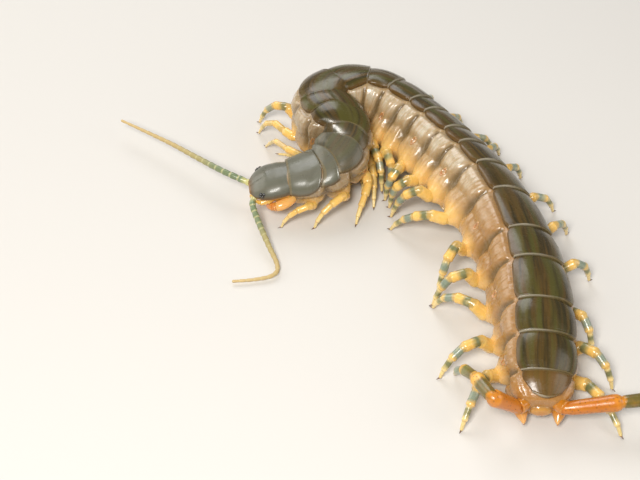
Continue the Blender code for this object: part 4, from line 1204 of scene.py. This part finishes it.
# ---- head ----
# shares run from 0 at the neck to 1 at the forehead
head = {
    # how far the forehead sinks under the neck's axis
    "nod": 0.9,
    # samples along and across the shield, and along and round the soft head
    "shieldGrid": (44, 64),
    "underGrid": (36, 48),
    "halfWidth": ((0.0, 4.4), (0.25, 4.75), (0.5, 4.75), (0.72, 4.3), (0.88, 3.25), (0.97, 2.1), (1.0, 1.4)),
    "height": ((0.0, 2.9), (0.3, 3.0), (0.6, 2.7), (0.8, 1.9), (0.93, 1.0), (1.0, 0.5)),
    "mouthWidth": ((0.0, 3.5), (0.42, 3.5), (0.6, 3.4), (0.85, 2.7), (1.0, 1.1)),
    "mouthDepth": ((0.0, 3.0), (0.42, 2.9), (0.6, 2.3), (0.85, 1.8), (1.0, 1.2)),
    # the soft head's width and height over the mouth, as shares of the shield's
    "underShares": (0.93, 0.75),
    # the shield's side edge over the axis, and its thickness
    "edge": 0.15,
    "shieldThickness": 0.4,
    # depth and half width of the furrow between the feelers; height, angle and width of the rolled rims
    "furrow": (0.10, 0.35),
    "sideRim": (0.10, 1.45, 0.07),
    # lenses: share along the head, and radians over the shield's edge
    "eyes": ((0.755, 0.34), (0.695, 0.29), (0.73, 0.48), (0.665, 0.43)),
    "eyeRadius": 0.36,
    # a feeler's root: share along the head, sideways and high; and the way it points, forward and sideways
    "feelerSocket": (0.85, 2.0, -0.75),
    "feelerWay": (0.8, 0.6),
    # the collar round it: radii at its root and its end, how far it reaches in and out, and its rolled rim's
    # height, place and width
    "feelerCollar": (0.95, 0.70),
    "collarReach": (2.0, 0.2),
    "collarRim": (0.10, 0.85, 0.08),
    # stations of a fang: forward of the neck, sideways, high and radius
    "fang": ((-0.5, 3.1, -1.8, 1.0), (0.7, 3.8, -2.05, 1.15), (2.2, 4.3, -2.2, 1.16), (3.2, 4.25, -2.35, 1.04),
             (3.8, 4.0, -2.5, 0.86), (4.4, 3.35, -2.8, 0.68), (4.8, 2.6, -3.05, 0.44), (5.0, 1.8, -3.25, 0.05)),
    # the way its root points, forward, sideways and down, and how deep it sits
    "fangWay": (0.55, 0.8, 0.1),
    "fangRoot": 1.6,
    "fangRings": 64,
    "fangSides": 26,
    "fangFlatness": 0.92,
    "grooveWidth": 0.11,
    # grooves between its joints: station and depth
    "grooves": ((2.95, 0.26), (3.4, 0.18), (3.8, 0.20)),
    # joints of a palp: share along the head, sideways and high
    "palp": ((0.42, 2.7, -1.25), (0.60, 3.35, -1.35), (0.76, 3.4, -1.35), (0.93, 2.3, -1.3)),
    "palpRadii": ((0.72, 0.72), (0.66, 0.56), (0.48, 0.22)),
}
fangBase = {
    "grid": (26, 34),
    "start": 0.4,
    "length": 3.9,
    "halfWidth": 3.4,
    # how much it narrows to the front, its height, and how its sides curve up: height and power
    "narrowing": 0.42,
    "level": -3.05,
    "curve": (0.75, 2.5),
    "thickness": 0.7,
    # depth and width of the rounded edges and of the middle groove
    "rim": (0.22, 0.5),
    "groove": (0.14, 0.18),
    # teeth on each lobe: count, first place sideways and the step between them, and root and tip, forward and high
    "teeth": 4,
    "toothPlaces": (0.35, 0.42),
    "toothRoot": (4.15, -3.1),
    "toothTip": (4.95, -3.2),
    "toothRadius": 0.24,
}


def inHead(forward, side, high):
    # points by their place forward of the neck, to the left and above the axis; the head nods a little
    forward, side, high = np.broadcast_arrays(forward, side, high)
    back, left, up = line.directions(0.0)
    nod = head["nod"] * forward / body["headLength"]
    return (line.place(0.0) - back * forward[..., None] + left * side[..., None] + up * (high - nod)[..., None])


def headProfile(name, share):
    return roundedProfile(head[name], share, 0.06)


def shieldSection(share, angle):
    # half width and height of the arch, sin and cos of the angle to the power 0.9
    wide, high = headProfile("halfWidth", share), headProfile("height", share)
    side = wide * np.sign(np.sin(angle)) * np.abs(np.sin(angle)) ** 0.9
    return side, high * np.abs(np.cos(angle)) ** 0.9


def headShield():
    # the arched shield: its section, with a furrow in front, rolled side rims and a soft unevenness
    shape = Shape()
    rows, columns = head["shieldGrid"]
    share = 1 - (1 - np.linspace(0, 1, rows)) ** 1.3
    along, turn = np.meshgrid(share, np.radians(evenly(columns, 1.4) * 180 - 90), indexing="ij")
    side, high = shieldSection(along, turn)
    length = body["headLength"]
    forward = 0.05 + (length - 0.05) * along
    depth, width = head["furrow"]
    furrow = depth * bell(side, width) * np.clip((along - 0.55) / 0.3, 0, 1)
    toSide = np.minimum((1 - np.abs(turn) / (math.pi / 2)) * 5.5, (1 - along) * length)
    rimHeight, rimAngle, rimWidth = head["sideRim"]
    sideRim = rimHeight * bell(np.abs(turn) - rimAngle, rimWidth)
    soft = 0.05 * np.sin(along * 5.2 + 0.6) * np.cos(turn * 2.3)
    lift = head["edge"] + high * (1 - furrow) + soft * high / 3
    top = inHead(forward, side * (1 + sideRim * 0.25), lift)
    thin = head["shieldThickness"]
    under = head["edge"] - 0.25 + high * 0.82
    bottom = inHead(np.maximum(forward - thin * 0.6 * along, 0.1), side * (1 - thin / 5), under)
    shape.addSheet(top, bottom, {"across": turn / (math.pi / 2), "toRear": 1.0, "toFront": 1.0, "toSide": toSide,
                                 "plate": 0.4})
    makePiece("headShield", shape, materials["shell"], ["head"])


def headUnder():
    # the soft head under the shield: wide and flat above, drawn in to the mouthparts below
    shape = Shape()
    rows, columns = head["underGrid"]
    turn = np.linspace(0, 2 * math.pi, columns + 1)[:-1]
    along, turn = np.meshgrid(np.linspace(0, 0.985, rows), turn, indexing="ij")
    wide, high = (headProfile(name, along) * part for name, part in zip(("halfWidth", "height"), head["underShares"]))
    mouth, deep = headProfile("mouthWidth", along), headProfile("mouthDepth", along)
    below = np.clip(-np.cos(turn) + 0.15, 0, 1) ** 1.2
    side = (wide * (1 - below) + mouth * below) * np.sign(np.sin(turn)) * np.abs(np.sin(turn)) ** 0.7
    level = np.where(np.cos(turn) > 0, high * np.cos(turn), deep * np.cos(turn) + 0.1)
    points = inHead(0.2 + (body["headLength"] - 0.2) * along, side, level)
    shape.addTube(points, {"place": 0.15 + 0.5 * along})
    # a collar round the root of each feeler, with a rolled rim
    (first, last), (inside, outside) = head["feelerCollar"], head["collarReach"]
    height, place, width = head["collarRim"]
    t = np.linspace(0, 1, 12)
    radius = first + (last - first) * t + height * bell(t - place, width)
    for side in (1, -1):
        end, way = feelerSocket(side)
        path = end + way * (t[:, None] * (inside + outside) - inside)
        shape.addTube(carriedRings(path, radius, 20), {"place": 0.1 + 0 * t[:, None]})
    makePiece("headUnder", shape, materials["mouth"])


def feelerSocket(side):
    # a feeler's root and the way it points
    share, across, high = head["feelerSocket"]
    back, left, _ = line.directions(0.0)
    forward, sideways = head["feelerWay"]
    way = unit(-back * forward + left * side * sideways)
    return inHead(body["headLength"] * share + 0.7, side * across, high), way


def palps():
    # second jaws' feelers: three articles each, reaching forward under the shield
    shape = Shape()
    for side in (1, -1):
        share, across, high = np.array(head["palp"]).T
        places = inHead(body["headLength"] * share, side * across, high)
        jointedShell(shape, places, unit(places[1] - places[0]), head["palpRadii"], legs["sides"])
    shape.numbers = {"place": [values * 0.08 for values in shape.numbers["article"]]}
    makePiece("palps", shape, materials["mouth"])


def fangs():
    # a stout base, two short rings and a hooked claw, on a smooth line through its stations
    for side in (1, -1):
        shape = Shape()
        stations = np.array(head["fang"])
        places = inHead(stations[:, 0], side * stations[:, 1], stations[:, 2])
        path = smoothLine(places, head["fangRings"])
        t = np.linspace(0, 1, head["fangRings"])
        station = t * (len(stations) - 1)
        radius = runningMean(np.interp(station, np.arange(len(stations)), stations[:, 3]), 7)
        radius[-4:] = radius[-5] * np.array([0.8, 0.55, 0.3, 0.1])
        grooves = sum(depth * bell(station - at, head["grooveWidth"]) for at, depth in head["grooves"])
        back, left, up = line.directions(0.0)
        forward, sideways, down = head["fangWay"]
        first = unit(-back * forward + left * side * sideways - up * down)
        path = np.vstack((path[0] - first * head["fangRoot"], path))
        radius = np.concatenate(([radius[0] * 0.9], radius * (1 - grooves)))
        place = np.concatenate(([0.0], np.clip(0.95 * t ** 1.3 + grooves * 2.2 * (t < 0.7), 0, 0.97)))
        rings = carriedRings(path, radius, head["fangSides"], flat=head["fangFlatness"])
        shape.addTube(rings, {"place": place[:, None]})
        node = f"fang_{sideWords[side]}"
        makePiece(node.replace("fang_", "poisonFang_"), shape, materials["fang"], [node])


def fangPlate():
    # the plate under the head that carries the fangs, with two toothed lobes in front
    shape = Shape()
    rows, columns = fangBase["grid"]
    along, across = np.meshgrid(evenly(rows), evenly(columns) * 2 - 1, indexing="ij")
    length = fangBase["length"]
    forward = fangBase["start"] + length * along
    half = fangBase["halfWidth"] * (1 - fangBase["narrowing"] * along ** 2)
    (rimDepth, rimWidth), (depth, width), (curve, power) = fangBase["rim"], fangBase["groove"], fangBase["curve"]
    edge = np.minimum(np.minimum(along, 1 - along) * length, (1 - np.abs(across)) * half)
    level = (fangBase["level"] + curve * np.abs(across) ** power - rimDepth * quarterRound(edge / rimWidth)
             + depth * bell(across * half, width))
    lower = inHead(forward, half * across, level)
    upper = inHead(forward, half * across * 0.96, level + fangBase["thickness"])
    shape.addSheet(lower, upper, {"place": 0.25 + 0.4 * along})
    t = np.linspace(0, 1, 7)
    radius = fangBase["toothRadius"] * np.sqrt(1 - t ** 2) + 0.02
    near, step = fangBase["toothPlaces"]
    (rootForward, rootHigh), (tipForward, tipHigh) = fangBase["toothRoot"], fangBase["toothTip"]
    for side in (1, -1):
        for k in range(fangBase["teeth"]):
            root = inHead(rootForward, side * (near + step * k), rootHigh)
            tip = inHead(tipForward - 0.06 * k, side * (near + step * k), tipHigh)
            shape.addTube(carriedRings(root + (tip - root) * t[:, None], radius, 8), {"place": 0.5 + 0.5 * t[:, None]})
    makePiece("fangPlate", shape, materials["fang"])


def eyes():
    # four lenses on each side, domes set into the shield: radius * cos(height)
    shape = Shape()
    rise = np.radians(np.linspace(-50, 82, 9))
    turn = (np.arange(16) * 2 * math.pi / 16)[:, None]
    ball, edge = head["eyeRadius"], head["edge"]
    for side in (1, -1):
        for share, lower in head["eyes"]:
            sideways, high = shieldSection(share, math.pi / 2 - lower)
            forward = body["headLength"] * share
            middle = inHead(forward, side * sideways * 0.98, edge + high * 0.98)
            out = unit(inHead(forward, side * (sideways + 1), edge + high + 0.6) - middle)
            across = unit(np.cross(out, (0.0, 0.0, 1.0)))
            around = across * np.cos(turn) + np.cross(across, out) * np.sin(turn)
            rings = middle + out * (np.sin(rise) * ball)[:, None, None] + around * (np.cos(rise) * ball)[:, None, None]
            shape.addTube(rings, {"place": 0.3}, tip=middle + out * ball)
    makePiece("eyes", shape, materials["eye"])


feelers = {
    "articles": feelerFinish["articles"],
    "radii": ((0.0, 0.68), (0.3, 0.60), (0.7, 0.42), (1.0, 0.26)),
    "sides": 14,
    "rootDepth": 1.1,
    # places on the way from the head to the tip, by side
    "places": {-1: ((-19.6, 13.8, 5.8), (-25.6, 18.6, 5.4), (-32.0, 24.0, 4.8), (-42.6, 31.6, 4.2)),
               1: ((-13.5, 5.4, 4.6), (-12.2, 1.6, 3.4), (-10.2, -3.2, 2.0), (-8.3, -8.0, 1.0),
                   (-9.2, -10.3, 0.8), (-12.6, -11.3, 0.7), (-17.0, -11.8, 0.7))},
    "stations": (0.0, 0.05, 0.14, 0.35, 0.6, 0.82, 0.93, 0.98),
}


def makeFeelers():
    # a row of slim clubs: each article swells to its far end and is drawn in at the joint
    for side in (1, -1):
        end, way = feelerSocket(side)
        start = end + way * legs["gap"]
        curve = smoothLine([start - way * feelers["rootDepth"], *feelers["places"][side]], 400)
        stations = np.array(feelers["stations"])
        count = np.arange(feelers["articles"])[:, None]
        share = ((count + stations) / feelers["articles"]).ravel()
        within = (0 * count + stations).ravel()
        club = 0.84 + 0.22 * np.clip(within / 0.8, 0, 1) ** 0.6 - 0.22 * np.clip((within - 0.86) / 0.12, 0, 1) ** 2
        radius = readProfile(feelers["radii"], share) * club
        path = readLine(curve, share * lengthAlong(curve)[-1])
        rings = carriedRings(path, radius, feelers["sides"])
        shape = Shape()
        shape.addTube(rings, {"article": share[:, None] * feelers["articles"], "within": within[:, None]},
                      tip=curve[-1], root=curve[0] - way * 0.3)
        node = f"feeler_{sideWords[side]}"
        makePiece(node.replace("feeler_", "longFeeler_"), shape, materials["feeler"], [node])


headShield()
headUnder()
palps()
fangs()
fangPlate()
eyes()
makeFeelers()
print("head made")

# ---- tail ----
tail = {
    # stations of a side plate: towards the tail from the body's end, sideways, high and radius
    "sidePlate": ((-2.6, 2.6, -1.4, 1.0), (-0.6, 3.3, -1.3, 1.5), (0.6, 3.2, -1.5, 1.1), (1.6, 3.0, -1.6, 0.55),
                  (2.4, 2.95, -1.7, 0.08)),
    "sideRings": 40,
    "sides": 24,
    # a collar round the root of each last leg: back along the leg, and towards the head
    "collar": ((-1.9, 1.9), (-0.8, 0.5), (0.2, 0.0)),
    "collarRadius": 1.38,
    # its rolled rim: height, place and width
    "collarRim": (0.06, 0.9, 0.06),
    "collarRings": 18,
    # the end segment: length, how much of it lies inside, half width, half height and droop
    "endLength": 1.9,
    "endInside": 0.8,
    "endHalfWidth": 2.1,
    "endHalfHeight": 1.4,
    "endDroop": 0.5,
    "endGrid": (22, 36),
}


def tailPoint(run, side, high):
    _, left, up = line.directions(run)
    return line.place(run) + left * side + up * high


def sidePlates():
    # the two swollen side plates of the last segment, each drawn out to a pale spine
    end = line.edges[-1]
    forward = -line.directions(end)[0]
    t, steps = np.linspace(0, 1, tail["sideRings"]), np.linspace(0, 1, tail["collarRings"])
    radii = [station[3] for station in tail["sidePlate"]]
    plateRadius = runningMean(np.interp(t * (len(radii) - 1), range(len(radii)), radii), 5)
    height, place, width = tail["collarRim"]
    collarRadius = (tail["collarRadius"] * np.sqrt(np.clip(steps / 0.3 + 0.02, 0, 1))
                    + height * bell(steps - place, width))
    for side in (1, -1):
        shape = Shape()
        places = [tailPoint(end + behind, side * across, high) for behind, across, high, _ in tail["sidePlate"]]
        path = smoothLine(places, tail["sideRings"])
        shape.addTube(carriedRings(path, plateRadius, tail["sides"]), {"place": 0.95 * t[:, None] ** 1.5})
        socket, way = tailSocket(side)
        places = [socket + way * out + forward * ahead for out, ahead in tail["collar"]]
        path = smoothLine(places, tail["collarRings"])
        shape.addTube(carriedRings(path, collarRadius, tail["sides"]), {"place": 0.1 + 0.1 * steps[:, None]})
        makePiece(f"sidePlate_{sideWords[side]}", shape, materials["sidePlate"])


def analSegment():
    # the small end segment between the side plates: a low dome that flares a little towards its rounded end
    shape = Shape()
    end = line.edges[-1]
    rows, columns = tail["endGrid"]
    turn = np.linspace(0, 2 * math.pi, columns + 1)[:-1]
    along, turn = np.meshgrid(np.linspace(0, 1, rows), turn, indexing="ij")
    size = np.clip(1 - (along * 0.985) ** 5.0, 0, 1) ** 0.5 * (0.86 + 0.14 * along)
    ridge = 0.10 * bell(along - 0.86, 0.05) - 0.12 * bell(np.sin(turn), 0.18) * along
    behind = along * tail["endLength"] - tail["endInside"]
    sideways = tail["endHalfWidth"] * size * np.sin(turn)
    high = (tail["endHalfHeight"] + ridge) * size * np.cos(turn) - tail["endDroop"] * along
    back, left, up = line.directions(end)
    points = line.place(end) + back * behind[..., None] + left * sideways[..., None] + up * high[..., None]
    shape.addTube(points, {"place": 0.1 + 0.85 * along ** 1.5})
    makePiece("endSegment", shape, materials["endSegment"])


breathing = {
    "segments": (3, 5, 7, 8, 10, 12, 14, 16, 18, 20),
    # shares along the segment and down the flank
    "place": (0.50, 0.44),
    # half height, in radians round the body, and half length
    "halfSize": (0.85 / 7, 0.50),
    "sides": 20,
    # by ring: size, height over the skin and place in the finish
    "rings": ((1.30, -0.17, 0.0), (1.16, 0.10, 0.1), (0.95, 0.19, 0.3), (0.70, 0.15, 0.5), (0.42, -0.02, 0.9)),
}


def breathingSlits():
    # orange-brown lips round a dark slit, on both flanks of the segments that breathe
    shape = Shape()
    size, out, place = (column[:, None] for column in np.array(breathing["rings"]).T)
    turn = np.arange(breathing["sides"]) * 2 * math.pi / breathing["sides"]
    (along, down), (halfHeight, halfLength) = breathing["place"], breathing["halfSize"]
    for number in breathing["segments"]:
        middle = line.runWithin(number, along)
        plate = line.plateAngleAt(float(number))
        angle = plate + down * (math.radians(body["bellyAngle"]) - plate)
        for side in (1, -1):
            run = middle + size * halfLength * np.sin(turn)
            around = side * angle + size * halfHeight * np.cos(turn)
            shape.addTube(line.skin(run, around, skinRelief(run, around)[0] + out), {"place": place})
    makePiece("breathingSlits", shape, materials["breathing"])


sidePlates()
analSegment()
breathingSlits()
print("tail made")

# ---- floor, light and camera ----
stage = {
    "floorSize": 3.0,
    "floorColour": (0.66, 0.64, 0.61),
    "floorClouds": (0.68, 0.66, 0.62),
    "worldColour": (0.84, 0.82, 0.79),
    "worldStrength": 0.26,
    # area lights: place, size, watts and colour
    "lights": (("keyLight", (-0.08, -0.24, 0.30), 0.12, 1.45, (1.0, 0.97, 0.92)),
               ("topLight", (-0.07, 0.28, 0.30), 0.24, 0.68, (0.97, 0.98, 1.0)),
               ("leftPanel", (-0.34, 0.16, 0.16), 0.28, 0.60, (1.0, 0.96, 0.88)),
               ("fillLight", (0.30, -0.06, 0.20), 0.22, 0.30, (1.0, 0.98, 0.95))),
    "cameraPlace": (-0.00915, -0.17836, 0.18703),
    "cameraAim": (-0.00915, 0.00225, 0.0),
    "lens": 73.125,
    "sensorWidth": 36.0,
    "clip": (0.01, 10.0),
}


def lookAt(thing, place, aim):
    # local -Z points from the place to the aim, and local Y stays as upright as it can
    away = unit(np.array(place) - np.array(aim))
    right = unit(np.cross((0.0, 0.0, 1.0), away))
    upright = np.cross(away, right)
    rows = [(*row, at) for row, at in zip(np.column_stack((right, upright, away)), place)]
    thing.matrix_world = Matrix(rows + [(0.0, 0.0, 0.0, 1.0)])


def makeStage():
    half = stage["floorSize"] / 2
    mesh = bpy.data.meshes.new("floor")
    mesh.from_pydata([(-half, -half, 0), (half, -half, 0), (half, half, 0), (-half, half, 0)], [], [(0, 1, 2, 3)])
    floor = bpy.data.objects.new("floor", mesh)
    f = Finish("paleFloor", {"Roughness": 0.75})
    f.put("Base Color", f.mix(f.noise(4.0) * 0.1, stage["floorColour"], stage["floorClouds"]))
    mesh.materials.append(f.material)
    bpy.context.scene.collection.objects.link(floor)
    world = bpy.data.worlds.new("paleRoom")
    world.use_nodes = True
    background = world.node_tree.nodes["Background"].inputs
    background["Color"].default_value = (*stage["worldColour"], 1.0)
    background["Strength"].default_value = stage["worldStrength"]
    bpy.context.scene.world = world
    for name, place, size, watts, colour in stage["lights"]:
        data = bpy.data.lights.new(name, "AREA")
        data.size, data.energy, data.color = size, watts, colour
        lamp = bpy.data.objects.new(name, data)
        bpy.context.scene.collection.objects.link(lamp)
        lookAt(lamp, place, (0.0, 0.0, 0.0))
    data = bpy.data.cameras.new("photoCamera")
    data.lens, data.sensor_width = stage["lens"], stage["sensorWidth"]
    data.clip_start, data.clip_end = stage["clip"]
    camera = bpy.data.objects.new("photoCamera", data)
    bpy.context.scene.collection.objects.link(camera)
    lookAt(camera, stage["cameraPlace"], stage["cameraAim"])
    bpy.context.scene.camera = camera
    bpy.context.scene.view_settings.view_transform = "Standard"


makeStage()
print("stage made")
